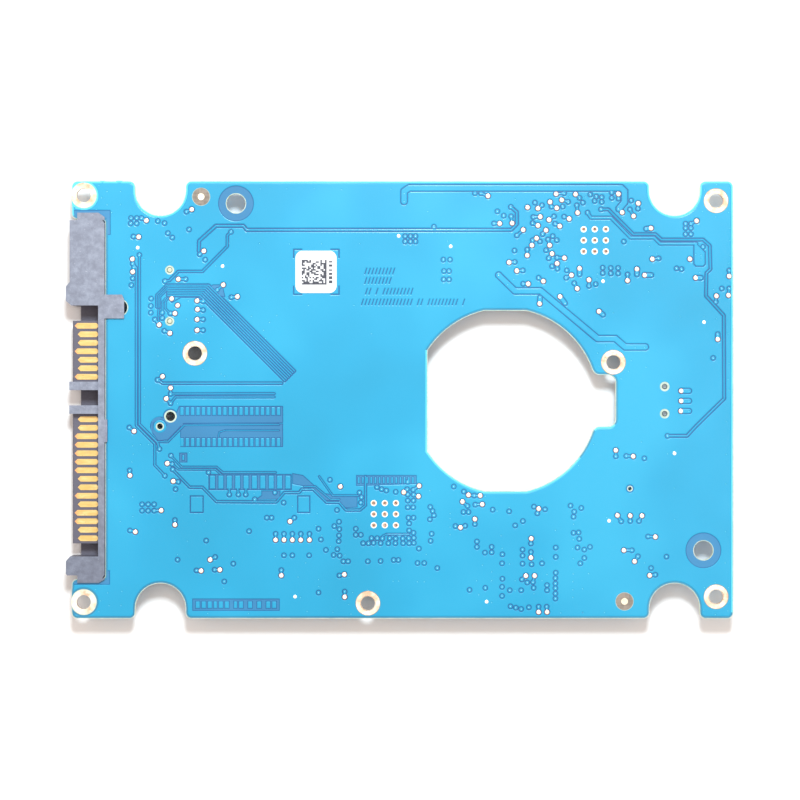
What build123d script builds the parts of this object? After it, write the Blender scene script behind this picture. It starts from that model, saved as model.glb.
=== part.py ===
"""Controller board of a 2.5-inch SATA disk drive.

The board lies flat with its outer face up.  +X runs from the SATA plug towards
the far end, +Y across the board, and Z = 0 is the lowest face of the SATA plug.
Components hang from the inner face, which looks down into the drive.
"""
import math
import os

from build123d import *

# ---------------------------------------------------------------- dimensions, mm
# Board
BOARD_LEFT, BOARD_RIGHT = -48.87, 49.70
BOARD_LOW, BOARD_HIGH = -32.65, 32.55
BOARD_THICKNESS = 0.8
MASK = 0.03                              # solder mask on each face
OUTER_FACE = 4.4                         # height of the outer face over the plug's base
INNER_FACE = OUTER_FACE - BOARD_THICKNESS
CORNER_R = 0.9
STUB_HEIGHT = 0.1                        # what is left of the two breakaway tabs
STUBS = ((-44.3, 0.8), (-41.8, 1.1))     # middle and width of each stub

# Edge notches that clear the drive's mounting bosses: pitch 76.6 along the board
NOTCH_X = (-35.65, 40.95)
NOTCH_Y = 31.15
NOTCH_R = 3.75
NOTCH_MOUTH_R = 0.9

# Cut-out for the SATA plug
CUTOUT_RIGHT = -43.87
CUTOUT_LOW, CUTOUT_HIGH = -26.8, 26.9
CUTOUT_MOUTH_R = 0.8
CUTOUT_CORNER_R = 0.6

# Motor opening: a circle with three flats and a straight bay to the right
MOTOR_X, MOTOR_Y = 15.72, -0.22
MOTOR_R = 13.8
MOTOR_FLAT_X = 4.14
MOTOR_FLAT_HALF = 13.44
BAY_RIGHT = 32.16
BAY_LOW, BAY_HIGH = -4.01, 3.64
BAY_CORNER_R = 1.1
BAY_JUNCTION_R = 1.2

# Plated screw holes
SCREW_HOLES = ((-47.08, 30.4), (-47.08, -30.2), (47.14, 29.6), (47.14, -29.4),
               (31.83, 5.54), (-4.74, -30.37), (-30.52, 6.87))
SCREW_HOLE_R = 1.05
SCREW_LAND_R = 1.85
BARREL = 0.05                            # copper thickness of a plated barrel

# Plain holes
LARGE_HOLES = ((-24.4, 29.2), (45.25, -22.5))
LARGE_HOLE_R = 1.425
PROBE_HOLES = ((-34.17, -2.53, 0.7), (-35.74, -4.02, 0.425), (34.3, -13.3, 0.28))
HEAD_PEGS = ((-34.28, 19.28), (-34.28, 11.65))
MOTOR_PEGS = ((39.48, 1.92), (39.48, -2.13))
PEG_HOLE_R = 0.42
PEG_R = 0.38
LUG_HOLE = (-41.8, 13.7)
LUG_HOLE_R = 1.2
LUG_PEG_R = 1.05

# Fiducials and thermal vias
FIDUCIALS = ((-29.6, 30.2), (33.5, -30.1))
FIDUCIAL_R = 0.5
FIDUCIAL_CLEARING_R = 1.2
VIA_GRIDS = ((-2.22, -17.1), (29.06, 23.7))
VIA_PITCH = 1.65
VIA_HOLE_R = 0.175
VIA_LAND_R = 0.455

# Label
LABEL_X, LABEL_Y = -12.47, 19.0
LABEL_WIDTH, LABEL_HEIGHT = 6.15, 6.3
LABEL_R = 1.1
LABEL_THICKNESS = 0.08

# SATA plug
PLUG_TOP = OUTER_FACE + 0.4
PLUG_FRONT = -49.70
TONGUE_TOP = OUTER_FACE - 1.2
TONGUE_THICKNESS = 1.23
TONGUE_FRONT = -48.87
KEY_FRONT = -49.25
KEY_WIDTH = 1.26
WALL_FRONT, WALL_REAR = -44.9, -43.95
SHELF_FRONT = -47.87
SHELF_TOP = 1.0
BENCH_REAR = -42.9
BENCH_TOP = 2.7
SIGNAL_TONGUE = (1.39, 11.76)            # low and high Y of each tongue
POWER_TONGUE = (-21.51, -0.89)
CONTACT_PITCH = 1.27
SIGNAL_FIRST_Y, POWER_FIRST_Y = 11.0, -2.97
SIGNAL_LONG = (0, 3, 6)                  # ground contacts that mate first
POWER_LONG = (2, 3, 4, 5, 6, 9, 11, 12)
SIGNAL_COUNT, POWER_COUNT = 7, 15
CONTACT_WIDTH = 0.84
CONTACT_THICKNESS = 0.2
CONTACT_PROUD = 0.05
LONG_TIP, SHORT_TIP = -48.57, -48.11
CONTACT_TAPER = 0.42
STEM_WIDTH = 0.3

# Spring-contact blocks on the inner face
HEAD_BLOCK = (-35.0, -30.6, 10.57, 20.37)    # low X, high X, low Y, high Y
HEAD_BLOCK_DEPTH = 1.3
HEAD_FINGERS = 8
HEAD_PITCH = 1.1
HEAD_HINGE_DEPTH = 0.7
HEAD_HINGE_INSET = 0.5
MOTOR_BLOCK = (35.0, 41.5, -3.4, 3.1)
MOTOR_BLOCK_DEPTH = 1.7
MOTOR_FINGERS = 3
MOTOR_PITCH = 1.5
MOTOR_HINGE_DEPTH = 0.85
MOTOR_HINGE_INSET = 1.3
HINGE_GAP = 0.04


# ---------------------------------------------------------------- small helpers
def block(x0, x1, y0, y1, z0, z1):
    """A box between two opposite corners."""
    return Pos((x0 + x1) / 2, (y0 + y1) / 2, (z0 + z1) / 2) * Box(x1 - x0, y1 - y0, z1 - z0)


def prism(points, z0, z1):
    """A polygon in plan, from height z0 up to z1."""
    face = make_face(Polyline(*points, close=True))
    return Pos(0, 0, z0) * extrude(face, z1 - z0)


def disc(x, y, radius, z0, z1):
    """An upright cylinder."""
    return Pos(x, y, (z0 + z1) / 2) * Cylinder(radius, z1 - z0)


def strip(profile, width):
    """A bent strip: a side-view polygon of (x, z) points, width along Y."""
    face = make_face(Polyline(*[(x, 0, z) for x, z in profile], close=True))
    return extrude(face, width / 2, dir=(0, 1, 0), both=True)


def hanging(length, width, depth0, depth1, edge=0.0):
    """A box under the inner face at the origin, between two depths; edge bevels its far rim."""
    body = block(-length / 2, length / 2, -width / 2, width / 2,
                 INNER_FACE - depth1, INNER_FACE - depth0)
    if edge:
        body = chamfer(body.faces().sort_by(Axis.Z)[0].edges(), edge)
    return body


def place(shape, x, y, angle=0):
    """A copy of a shape made at the origin, turned about Z and moved on the board."""
    return Pos(x, y) * Rot(0, 0, angle) * shape


def row(count, pitch):
    """Evenly spaced offsets, centred on zero."""
    return [(i - (count - 1) / 2) * pitch for i in range(count)]


def save(name, solids):
    """Write one sub-part; a list is kept as separate solids."""
    shape = Compound(children=solids) if isinstance(solids, list) else solids
    export_step(shape, f"parts/{name}.step")


# ---------------------------------------------------------------- the board
def near(vertex, x, y):
    return abs(vertex.X - x) < 0.01 and abs(vertex.Y - y) < 0.01


def round_corners(sketch, points, radius):
    corners = [v for v in sketch.vertices() if any(near(v, x, y) for x, y in points)]
    return fillet(corners, radius)


def notch(x, side):
    """A round-bottomed notch, open to one long edge."""
    throat = Pos(x, side * (NOTCH_Y + NOTCH_R)) * Rectangle(2 * NOTCH_R, 2 * NOTCH_R)
    return Pos(x, side * NOTCH_Y) * Circle(NOTCH_R) + throat


def motor_opening():
    circle = Pos(MOTOR_X, MOTOR_Y) * Circle(MOTOR_R)
    flats = Pos(MOTOR_FLAT_X + MOTOR_R, MOTOR_Y) * Rectangle(2 * MOTOR_R, 2 * MOTOR_FLAT_HALF)
    bay = Pos((MOTOR_X + BAY_RIGHT) / 2, (BAY_LOW + BAY_HIGH) / 2) * Rectangle(
        BAY_RIGHT - MOTOR_X, BAY_HIGH - BAY_LOW)
    opening = (circle & flats) + bay
    opening = round_corners(opening, [(BAY_RIGHT, BAY_LOW), (BAY_RIGHT, BAY_HIGH)], BAY_CORNER_R)
    junctions = [(MOTOR_X + math.sqrt(MOTOR_R ** 2 - (y - MOTOR_Y) ** 2), y)
                 for y in (BAY_LOW, BAY_HIGH)]
    return round_corners(opening, junctions, BAY_JUNCTION_R)


def board_plan():
    """Outline of the laminate with its cut-out, notches and motor opening."""
    plan = Pos((BOARD_LEFT + BOARD_RIGHT) / 2, (BOARD_LOW + BOARD_HIGH) / 2) * Rectangle(
        BOARD_RIGHT - BOARD_LEFT, BOARD_HIGH - BOARD_LOW)
    plan = fillet(plan.vertices(), CORNER_R)
    for x in NOTCH_X:
        for side in (-1, 1):
            plan -= notch(x, side)
    mouths = [(x + dx, y) for x in NOTCH_X for dx in (-NOTCH_R, NOTCH_R)
              for y in (BOARD_LOW, BOARD_HIGH)]
    plan = round_corners(plan, mouths, NOTCH_MOUTH_R)
    plan -= Pos(CUTOUT_RIGHT - 5, (CUTOUT_LOW + CUTOUT_HIGH) / 2) * Rectangle(
        10, CUTOUT_HIGH - CUTOUT_LOW)
    ends = (CUTOUT_LOW, CUTOUT_HIGH)
    plan = round_corners(plan, [(BOARD_LEFT, y) for y in ends], CUTOUT_MOUTH_R)
    plan = round_corners(plan, [(CUTOUT_RIGHT, y) for y in ends], CUTOUT_CORNER_R)
    plan -= motor_opening()
    for x, width in STUBS:
        plan += Pos(x, BOARD_HIGH) * Rectangle(width, 2 * STUB_HEIGHT)
    return plan


def via_places():
    return [(x + dx, y + dy) for x, y in VIA_GRIDS
            for dx in row(3, VIA_PITCH) for dy in row(3, VIA_PITCH)]


def holes(screw_r, via_r):
    """Plan of every round hole, with the given radii for the plated ones."""
    plan = Sketch()
    for x, y in SCREW_HOLES:
        plan += Pos(x, y) * Circle(screw_r)
    for x, y in via_places():
        plan += Pos(x, y) * Circle(via_r)
    for x, y in LARGE_HOLES:
        plan += Pos(x, y) * Circle(LARGE_HOLE_R)
    for x, y, radius in PROBE_HOLES:
        plan += Pos(x, y) * Circle(radius)
    for x, y in HEAD_PEGS + MOTOR_PEGS:
        plan += Pos(x, y) * Circle(PEG_HOLE_R)
    return plan + Pos(*LUG_HOLE) * Circle(LUG_HOLE_R)


def plated_hole(x, y, hole_r, land_r):
    """Copper barrel with a land on each face, flush with the mask."""
    tube = disc(x, y, hole_r + BARREL, INNER_FACE, OUTER_FACE)
    tube += disc(x, y, land_r, INNER_FACE, INNER_FACE + MASK)
    tube += disc(x, y, land_r, OUTER_FACE - MASK, OUTER_FACE)
    return tube - disc(x, y, hole_r, INNER_FACE - 1, OUTER_FACE + 1)


def make_board():
    plan = board_plan()
    core = plan - holes(SCREW_HOLE_R + BARREL, VIA_HOLE_R + BARREL)
    save("circuit_board",
         Pos(0, 0, INNER_FACE + MASK) * extrude(core, BOARD_THICKNESS - 2 * MASK))

    mask = plan - holes(SCREW_LAND_R, VIA_LAND_R)
    save("inner_solder_mask", Pos(0, 0, INNER_FACE) * extrude(mask, MASK))
    for x, y in FIDUCIALS:
        mask -= Pos(x, y) * Circle(FIDUCIAL_CLEARING_R)
    save("outer_solder_mask", Pos(0, 0, OUTER_FACE - MASK) * extrude(mask, MASK))

    save("screw_hole_lands", [plated_hole(x, y, SCREW_HOLE_R, SCREW_LAND_R)
                              for x, y in SCREW_HOLES])
    save("thermal_vias", [plated_hole(x, y, VIA_HOLE_R, VIA_LAND_R) for x, y in via_places()])
    save("fiducial_marks", [disc(x, y, FIDUCIAL_R, OUTER_FACE - MASK, OUTER_FACE)
                            for x, y in FIDUCIALS])
    label = RectangleRounded(LABEL_WIDTH, LABEL_HEIGHT, LABEL_R)
    save("identification_label",
         Pos(LABEL_X, LABEL_Y, OUTER_FACE) * extrude(label, LABEL_THICKNESS))


# ---------------------------------------------------------------- the SATA plug
def plug_contact(y, tip):
    """One contact: a blade pointed at both ends, a stem and a soldered tail."""
    top = TONGUE_TOP + CONTACT_PROUD
    low = top - CONTACT_THICKNESS
    half = CONTACT_WIDTH / 2
    blade = prism([(tip, y), (tip + CONTACT_TAPER, y - half),
                   (WALL_FRONT - CONTACT_TAPER, y - half), (WALL_FRONT, y),
                   (WALL_FRONT - CONTACT_TAPER, y + half), (tip + CONTACT_TAPER, y + half)],
                  low, top)
    tail_end = CUTOUT_RIGHT + 1.9
    stem = strip([(WALL_FRONT - 0.2, low), (-43.85, low), (-43.5, INNER_FACE - CONTACT_THICKNESS),
                  (tail_end, INNER_FACE - CONTACT_THICKNESS), (tail_end, INNER_FACE),
                  (-43.6, INNER_FACE), (-43.95, top), (WALL_FRONT - 0.2, top)], STEM_WIDTH)
    return blade + Pos(0, y, 0) * stem


def tongue(low_y, high_y, key_high):
    """A contact tongue with its upright key bar at one end."""
    low = TONGUE_TOP - TONGUE_THICKNESS
    blade = block(TONGUE_FRONT, WALL_FRONT, low_y, high_y, low, TONGUE_TOP)
    blade = chamfer(blade.edges().filter_by(Axis.Y).sort_by(Axis.X)[:2], 0.2)
    key = block(KEY_FRONT, WALL_FRONT, key_high - KEY_WIDTH, key_high, low, OUTER_FACE)
    return blade + key


def plug_housing():
    high_arm = prism([(WALL_REAR, 26.2), (-44.3, 26.7), (-49.13, 26.7), (-49.13, 17.5), (PLUG_FRONT, 16.8),
                      (PLUG_FRONT, 14.66), (-48.9, 14.0), (WALL_REAR, 14.0)], 0, PLUG_TOP)
    low_arm = prism([(WALL_REAR, -23.4), (-49.1, -23.4), (PLUG_FRONT, -24.1),
                     (PLUG_FRONT, -26.0), (-49.5, -26.2), (-48.0, -26.2), (-48.0, -26.65),
                     (-44.3, -26.65), (WALL_REAR, -26.1)], 0, PLUG_TOP)
    high_flange = prism([(WALL_REAR, 26.7), (-48.0, 26.7), (-48.0, 27.8), (-44.85, 27.8),
                         (WALL_REAR, 27.15)], OUTER_FACE, PLUG_TOP)
    low_flange = prism([(WALL_REAR, -26.65), (-48.0, -26.65), (-48.0, -27.3), (-44.8, -27.3),
                        (WALL_REAR, -26.8)], OUTER_FACE, PLUG_TOP)
    housing = high_arm + low_arm + high_flange + low_flange
    housing += block(WALL_FRONT, WALL_REAR, -24, 15, 0, PLUG_TOP)
    housing += block(SHELF_FRONT, WALL_REAR, -24, 15, 0, SHELF_TOP)
    housing += block(WALL_REAR, BENCH_REAR, -26.2, 26.2, 0, BENCH_TOP)
    for low_y, high_y in ((22.6, 26.2), (-26.2, -22.6)):
        housing += block(WALL_REAR, BENCH_REAR, low_y, high_y, 0, INNER_FACE)
    housing += tongue(*SIGNAL_TONGUE, SIGNAL_TONGUE[0] + KEY_WIDTH)
    housing += tongue(*POWER_TONGUE, POWER_TONGUE[1])
    housing += prism([(WALL_REAR, 12.06), (-41.05, 12.06), (-41.05, 14.9), (-41.35, 15.6),
                      (WALL_REAR, 15.6)], OUTER_FACE, PLUG_TOP)
    housing += disc(*LUG_HOLE, LUG_PEG_R, INNER_FACE - 0.3, OUTER_FACE) & block(
        -43, -41.05, 12.06, 15.6, 0, OUTER_FACE)
    housing += block(WALL_REAR, -43.55, -6.35, -3.0, OUTER_FACE, PLUG_TOP)
    return housing


def make_plug():
    signal = [plug_contact(SIGNAL_FIRST_Y - i * CONTACT_PITCH,
                           LONG_TIP if i in SIGNAL_LONG else SHORT_TIP)
              for i in range(SIGNAL_COUNT)]
    power = [plug_contact(POWER_FIRST_Y - i * CONTACT_PITCH,
                          LONG_TIP if i in POWER_LONG else SHORT_TIP)
             for i in range(POWER_COUNT)]
    housing = plug_housing()
    for contact in signal + power:
        housing -= contact
    save("sata_housing", housing)
    save("sata_signal_contacts", signal)
    save("sata_power_contacts", power)
    tabs = []
    for y in (-24.4, 24.4):
        foot = block(BENCH_REAR, BENCH_REAR + 1.8, y - 1, y + 1, INNER_FACE - 0.25, INNER_FACE)
        back = block(BENCH_REAR, BENCH_REAR + 0.25, y - 1, y + 1, 1.2, INNER_FACE)
        tabs.append(foot + back)
    save("sata_solder_tabs", tabs)


# ---------------------------------------------------------------- spring-contact blocks
def spring_finger(reach, drop, thickness, width):
    """A sloping beam that starts at the origin and ends in a rounded-up contact tip."""
    line = [(0, 0), (reach * 0.8, -drop), (reach, -drop), (reach * 1.1, -drop * 0.75)]
    half = thickness / 2
    upper = [(x, z + half) for x, z in line]
    lower = [(x, z - half) for x, z in reversed(line)]
    return strip(upper + lower, width)


def finger_tail(hinge_depth, foot_start, foot_end, thickness, width):
    """The fixed root of a finger, from just behind its hinge to the solder foot."""
    half = thickness / 2
    bend = foot_start + 0.15
    return strip([(-HINGE_GAP, half), (bend, half), (foot_start, hinge_depth),
                  (foot_end, hinge_depth), (foot_end, hinge_depth - thickness),
                  (foot_start - thickness, hinge_depth - thickness),
                  (bend - thickness, -half), (-HINGE_GAP, -half)], width)


def spring_block(box, depth, pegs, slots):
    """A moulded block with locating pegs and one open-bottomed slot for each finger."""
    x0, x1, y0, y1 = box
    body = block(x0, x1, y0, y1, INNER_FACE - depth, INNER_FACE)
    body = chamfer(body.faces().sort_by(Axis.Z)[0].edges(), 0.15)
    for x, y in pegs:
        body += disc(x, y, PEG_R, INNER_FACE, OUTER_FACE - 0.12)
    for slot in slots:
        body -= slot
    return body


def head_row(direction):
    """Fingers, tails and slots of one row; direction is the way the beams point in X."""
    x0, x1, y0, y1 = HEAD_BLOCK
    wall = x0 if direction > 0 else x1
    hinge_x = wall + direction * HEAD_HINGE_INSET
    hinge_z = INNER_FACE - HEAD_HINGE_DEPTH
    turn = 0 if direction > 0 else 180
    finger = spring_finger(1.3, 0.85, 0.1, 0.45)
    tail = finger_tail(HEAD_HINGE_DEPTH, -0.75, -1.15, 0.1, 0.45)
    slot = block(-0.25, 1.62, -0.36, 0.36, -3, 0.35)
    fingers, tails, slots = [], [], []
    for dy in row(HEAD_FINGERS, HEAD_PITCH):
        seat = Pos(hinge_x, (y0 + y1) / 2 + dy, hinge_z) * Rot(0, 0, turn)
        fingers.append(seat * finger)
        tails.append(seat * tail)
        slots.append(seat * slot)
    return fingers, tails, slots


def make_head_connector():
    near_fingers, near_tails, near_slots = head_row(1)
    far_fingers, far_tails, far_slots = head_row(-1)
    housing = spring_block(HEAD_BLOCK, HEAD_BLOCK_DEPTH, HEAD_PEGS, near_slots + far_slots)
    for tail in near_tails + far_tails:
        housing -= tail
    save("head_connector_housing", housing)
    save("head_contact_tails", near_tails + far_tails)
    save("head_spring_row_near", near_fingers)
    save("head_spring_row_far", far_fingers)


def make_motor_connector():
    x0, x1, y0, y1 = MOTOR_BLOCK
    hinge_x, hinge_z = x1 - MOTOR_HINGE_INSET, INNER_FACE - MOTOR_HINGE_DEPTH
    finger = spring_finger(3.4, 1.25, 0.15, 0.9)
    tail = finger_tail(MOTOR_HINGE_DEPTH, -1.55, -2.5, 0.15, 0.9)
    slot = block(-0.35, 4.2, -0.6, 0.6, -3, 0.5)
    tails, slots = [], []
    for i, dy in enumerate(row(MOTOR_FINGERS, MOTOR_PITCH)):
        seat = Pos(hinge_x, MOTOR_Y + dy, hinge_z) * Rot(0, 0, 180)
        save(f"motor_spring_{i + 1}", seat * finger)
        tails.append(seat * tail)
        slots.append(seat * slot)
    housing = spring_block(MOTOR_BLOCK, MOTOR_BLOCK_DEPTH, MOTOR_PEGS, slots)
    for tail in tails:
        housing -= tail
    save("motor_connector_housing", housing)
    save("motor_contact_tails", tails)


# ---------------------------------------------------------------- packaged chips
def gull_lead(start, reach, exit_depth, thickness, width):
    """A lead that leaves a package side at x = start and stands on the board."""
    top = INNER_FACE - exit_depth + thickness / 2
    knee, ankle, toe = start + reach * 0.3, start + reach * 0.5, start + reach
    return strip([(start, top), (knee, top), (ankle, INNER_FACE), (toe, INNER_FACE),
                  (toe, INNER_FACE - thickness), (ankle + thickness, INNER_FACE - thickness),
                  (knee + thickness, top - thickness), (start, top - thickness)], width)


def flat_leads(size, per_side, pitch, length, width):
    """Flush pads round the rim of a square no-lead package, with its middle pad."""
    pads = [hanging(size * 0.62, size * 0.62, 0, 0.2)]
    pad = Pos(size / 2 - length / 2, 0) * hanging(length, width, 0, 0.2)
    for side in range(4):
        for offset in row(per_side, pitch):
            pads.append(Rot(0, 0, 90 * side) * Pos(0, offset) * pad)
    return pads


def make_controller():
    x, y = VIA_GRIDS[0]
    size = 12.0
    save("controller_chip", place(hanging(size, size, 0.1, 1.3, 0.12), x, y))
    lead = gull_lead(size / 2, 1.0, 0.65, 0.13, 0.22)
    leads = [place(Pos(0, offset) * lead, x, y, 90 * side)
             for side in range(4) for offset in row(22, 0.5)]
    save("controller_leads", leads)
    save("controller_heat_pad", place(hanging(5.2, 5.2, 0, 0.1), x, y))


def make_memory():
    x, y = -20.5, -17.0
    save("memory_chip", place(hanging(8, 8, 0.3, 1.05, 0.08), x, y))
    columns = [side * offset for side in (-1, 1) for offset in (1.6, 2.4, 3.2)]
    save("memory_solder_balls", [disc(x + dx, y + dy, 0.22, INNER_FACE - 0.3, INNER_FACE)
                                 for dx in columns for dy in row(9, 0.8)])


def make_no_lead_chips():
    x, y = VIA_GRIDS[1]
    save("motor_driver_chip", place(hanging(7, 7, 0.2, 0.9, 0.06), x, y))
    save("motor_driver_pads", [place(p, x, y) for p in flat_leads(7, 12, 0.5, 0.4, 0.24)])
    x, y = -31.5, -10.6
    save("regulator_chip", place(hanging(4, 4, 0.2, 0.9, 0.06), x, y))
    save("regulator_pads", [place(p, x, y) for p in flat_leads(4, 5, 0.65, 0.4, 0.3)])


def make_flash():
    x, y = 11.5, -21.5
    save("flash_chip", place(hanging(4.9, 3.9, 0.1, 1.55, 0.2), x, y))
    lead = gull_lead(3.9 / 2, 1.05, 0.8, 0.2, 0.41)
    save("flash_leads", [place(Pos(0, offset) * lead, x, y, angle)
                         for angle in (90, 270) for offset in row(4, 1.27)])


def make_crystal():
    x, y = -12.9, -9.3
    save("crystal_base", place(hanging(3.2, 2.5, 0, 0.45), x, y))
    lid = hanging(2.9, 2.2, 0.45, 0.75)
    save("crystal_lid", place(fillet(lid.edges().filter_by(Axis.Z), 0.35), x, y))


def make_transistors():
    body = hanging(1.3, 2.9, 0.1, 1.05, 0.1)
    lead = gull_lead(0.65, 0.55, 0.55, 0.12, 0.4)
    bodies, leads = [], []
    for x, y, angle in ((38.0, 23.5, 0), (43.6, 21.0, 90), (24.0, -20.0, 0)):
        bodies.append(place(body, x, y, angle))
        for offset, turn in ((0.95, 0), (-0.95, 0), (0, 180)):
            leads.append(place(Rot(0, 0, turn) * Pos(0, offset) * lead, x, y, angle))
    save("transistors", bodies)
    save("transistor_leads", leads)


# ---------------------------------------------------------------- two-ended parts
def plain_ends(length, width, depth, end):
    """Metal caps at both ends of a small block."""
    cap = block(length / 2 - end, length / 2, -width / 2, width / 2,
                INNER_FACE - depth, INNER_FACE)
    return [cap, Rot(0, 0, 180) * cap]


def bracket_ends(length, width, depth, foot):
    """An L-shaped strap at both ends: a foot on the board and an upright."""
    thickness = 0.15
    upright = block(length / 2 - thickness, length / 2, -width / 2, width / 2,
                    INNER_FACE - depth, INNER_FACE)
    strap = upright + block(length / 2 - foot, length / 2, -width / 2, width / 2,
                            INNER_FACE - thickness, INNER_FACE)
    return [strap, Rot(0, 0, 180) * strap]


def make_pairs(body_name, end_name, body, ends, places):
    """Repeat one two-ended component over a list of (x, y, angle) places."""
    save(body_name, [place(body, *spot) for spot in places])
    save(end_name, [place(end, *spot) for spot in places for end in ends])


def make_two_ended_parts():
    ferrite = hanging(4.0, 4.0, 0.15, 1.3)
    ferrite = fillet(ferrite.edges().filter_by(Axis.Z), 0.5)
    feet = [side * 1.45 for side in (-1, 1)]
    inductors = ((-31.5, -16.6, 0), (-31.0, -22.6, 0), (37.5, 14.0, 0), (20.0, 22.5, 90))
    make_pairs("power_inductors", "inductor_terminals", ferrite,
               [Pos(x, 0) * hanging(1.0, 3.6, 0, 0.15) for x in feet], inductors)

    tantalum = hanging(3.5, 2.8, 0.15, 1.9, 0.2) - bracket_ends(3.5, 2.2, 1.2, 0.8)
    make_pairs("tantalum_capacitors", "tantalum_terminals", tantalum,
               bracket_ends(3.5, 2.2, 1.2, 0.8),
               ((46.0, 14.0, 90), (46.0, -12.0, 90), (14.0, 21.5, 0)))

    foot = Pos(2.35, 0) * hanging(0.8, 1.5, 0, 0.2)
    make_pairs("surge_diodes", "surge_diode_leads", hanging(3.9, 2.6, 0.05, 1.1, 0.15),
               [foot, Rot(0, 0, 180) * foot], ((-38.2, -7.5, 90), (-38.2, -13.5, 90)))

    make_pairs("shock_sensors", "shock_sensor_ends", hanging(2.2, 1.6, 0, 1.1),
               plain_ends(3.0, 1.6, 1.1, 0.4), ((-15.5, 26.5, 45), (37.0, -25.0, -45)))

    make_pairs("bulk_capacitors", "bulk_capacitor_ends", hanging(1.2, 1.25, 0, 1.1),
               plain_ends(2.0, 1.25, 1.1, 0.4),
               ((-38.3, -18.8, 90), (-38.3, -22.2, 90), (-26.5, -26.0, 0), (33.6, 17.0, 90),
                (20.5, 18.6, 0), (42.6, 9.5, 90), (23.4, 28.6, 0), (38.5, 18.4, 0)))

    around_controller = [(x, -26.0, 90) for x in (-9, -7, -5, -3, -1, 1, 3)]
    around_controller += [(x, -8.4, 0) for x in (-9, -7, -5, -3, -1)]
    around_controller += [(-11.2, y, 0) for y in (-23, -21, -19, -17, -15, -13)]
    around_driver = [(x, 29.4, 90) for x in (26.2, 27.8, 29.4, 31.0, 32.6)]
    around_driver += [(34.6, y, 0) for y in (20.6, 22.4, 24.2, 26.0)]
    by_head_block = [(-27.6, y, 0) for y in (11.6, 13.2, 14.8, 16.4, 18.0, 19.6)]
    make_pairs("ceramic_capacitors", "ceramic_capacitor_ends", hanging(0.5, 0.5, 0, 0.5),
               plain_ends(1.0, 0.5, 0.5, 0.25),
               around_controller + around_driver + by_head_block)

    resistors = [(x, -27.7, 90) for x in (-9, -7, 0, 2, 4)]
    resistors += [(-14.2, y, 0) for y in (-23, -21, -19, -17, -15, -13)]
    resistors += [(-25.4, y, 0) for y in (11.6, 13.2, 14.8, 16.4, 18.0, 19.6)]
    resistors += [(x, 17.9, 90) for x in (25.4, 27.0, 28.6, 30.2)]
    make_pairs("resistors", "resistor_ends", hanging(0.6, 0.5, 0, 0.35),
               plain_ends(1.0, 0.5, 0.35, 0.2), resistors)


# ---------------------------------------------------------------- build
os.makedirs("parts", exist_ok=True)
make_board()
make_plug()
make_head_connector()
make_motor_connector()
make_controller()
make_memory()
make_no_lead_chips()
make_flash()
make_crystal()
make_transistors()
make_two_ended_parts()
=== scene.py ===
"""Looks of the disk-drive controller board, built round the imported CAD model.

Lengths in the layout tables are millimetres in the CAD frame: +X from the plug to the
far end, +Y across the board, +Z out of the smooth outer face.
"""

import math
import random

import bmesh
import bpy
import numpy as np
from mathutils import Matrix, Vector
from mathutils.geometry import delaunay_2d_cdt


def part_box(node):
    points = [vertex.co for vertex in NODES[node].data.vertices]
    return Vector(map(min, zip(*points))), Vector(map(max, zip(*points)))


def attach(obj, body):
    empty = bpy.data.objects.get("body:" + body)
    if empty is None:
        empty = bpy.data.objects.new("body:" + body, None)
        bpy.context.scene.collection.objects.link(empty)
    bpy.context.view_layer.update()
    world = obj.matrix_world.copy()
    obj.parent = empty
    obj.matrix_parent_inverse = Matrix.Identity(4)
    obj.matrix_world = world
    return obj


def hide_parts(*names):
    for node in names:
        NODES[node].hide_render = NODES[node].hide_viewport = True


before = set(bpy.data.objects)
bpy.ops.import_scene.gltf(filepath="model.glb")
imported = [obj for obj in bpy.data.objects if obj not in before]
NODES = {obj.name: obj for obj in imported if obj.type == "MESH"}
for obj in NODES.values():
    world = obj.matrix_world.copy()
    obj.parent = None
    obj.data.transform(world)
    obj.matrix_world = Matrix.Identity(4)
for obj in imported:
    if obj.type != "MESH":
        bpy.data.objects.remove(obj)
bpy.context.view_layer.update()

MM = 0.001
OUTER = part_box("outer_solder_mask")[1].z / MM        # outer face of the board
OUTER_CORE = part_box("circuit_board")[1].z / MM       # laminate under the outer mask
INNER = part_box("inner_solder_mask")[0].z / MM        # inner face of the board
INNER_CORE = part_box("circuit_board")[0].z / MM

MIX_FACTOR, MIX_A, MIX_B, MIX_RESULT = 0, 6, 7, 2    # sockets of a colour Mix node


# ================================================================ materials
def linear(rgb):
    """An 8-bit display colour as linear values."""
    return tuple((c / 255 / 12.92) if c <= 10.3 else ((c / 255 + 0.055) / 1.055) ** 2.4
                 for c in rgb) + (1.0,)


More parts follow.
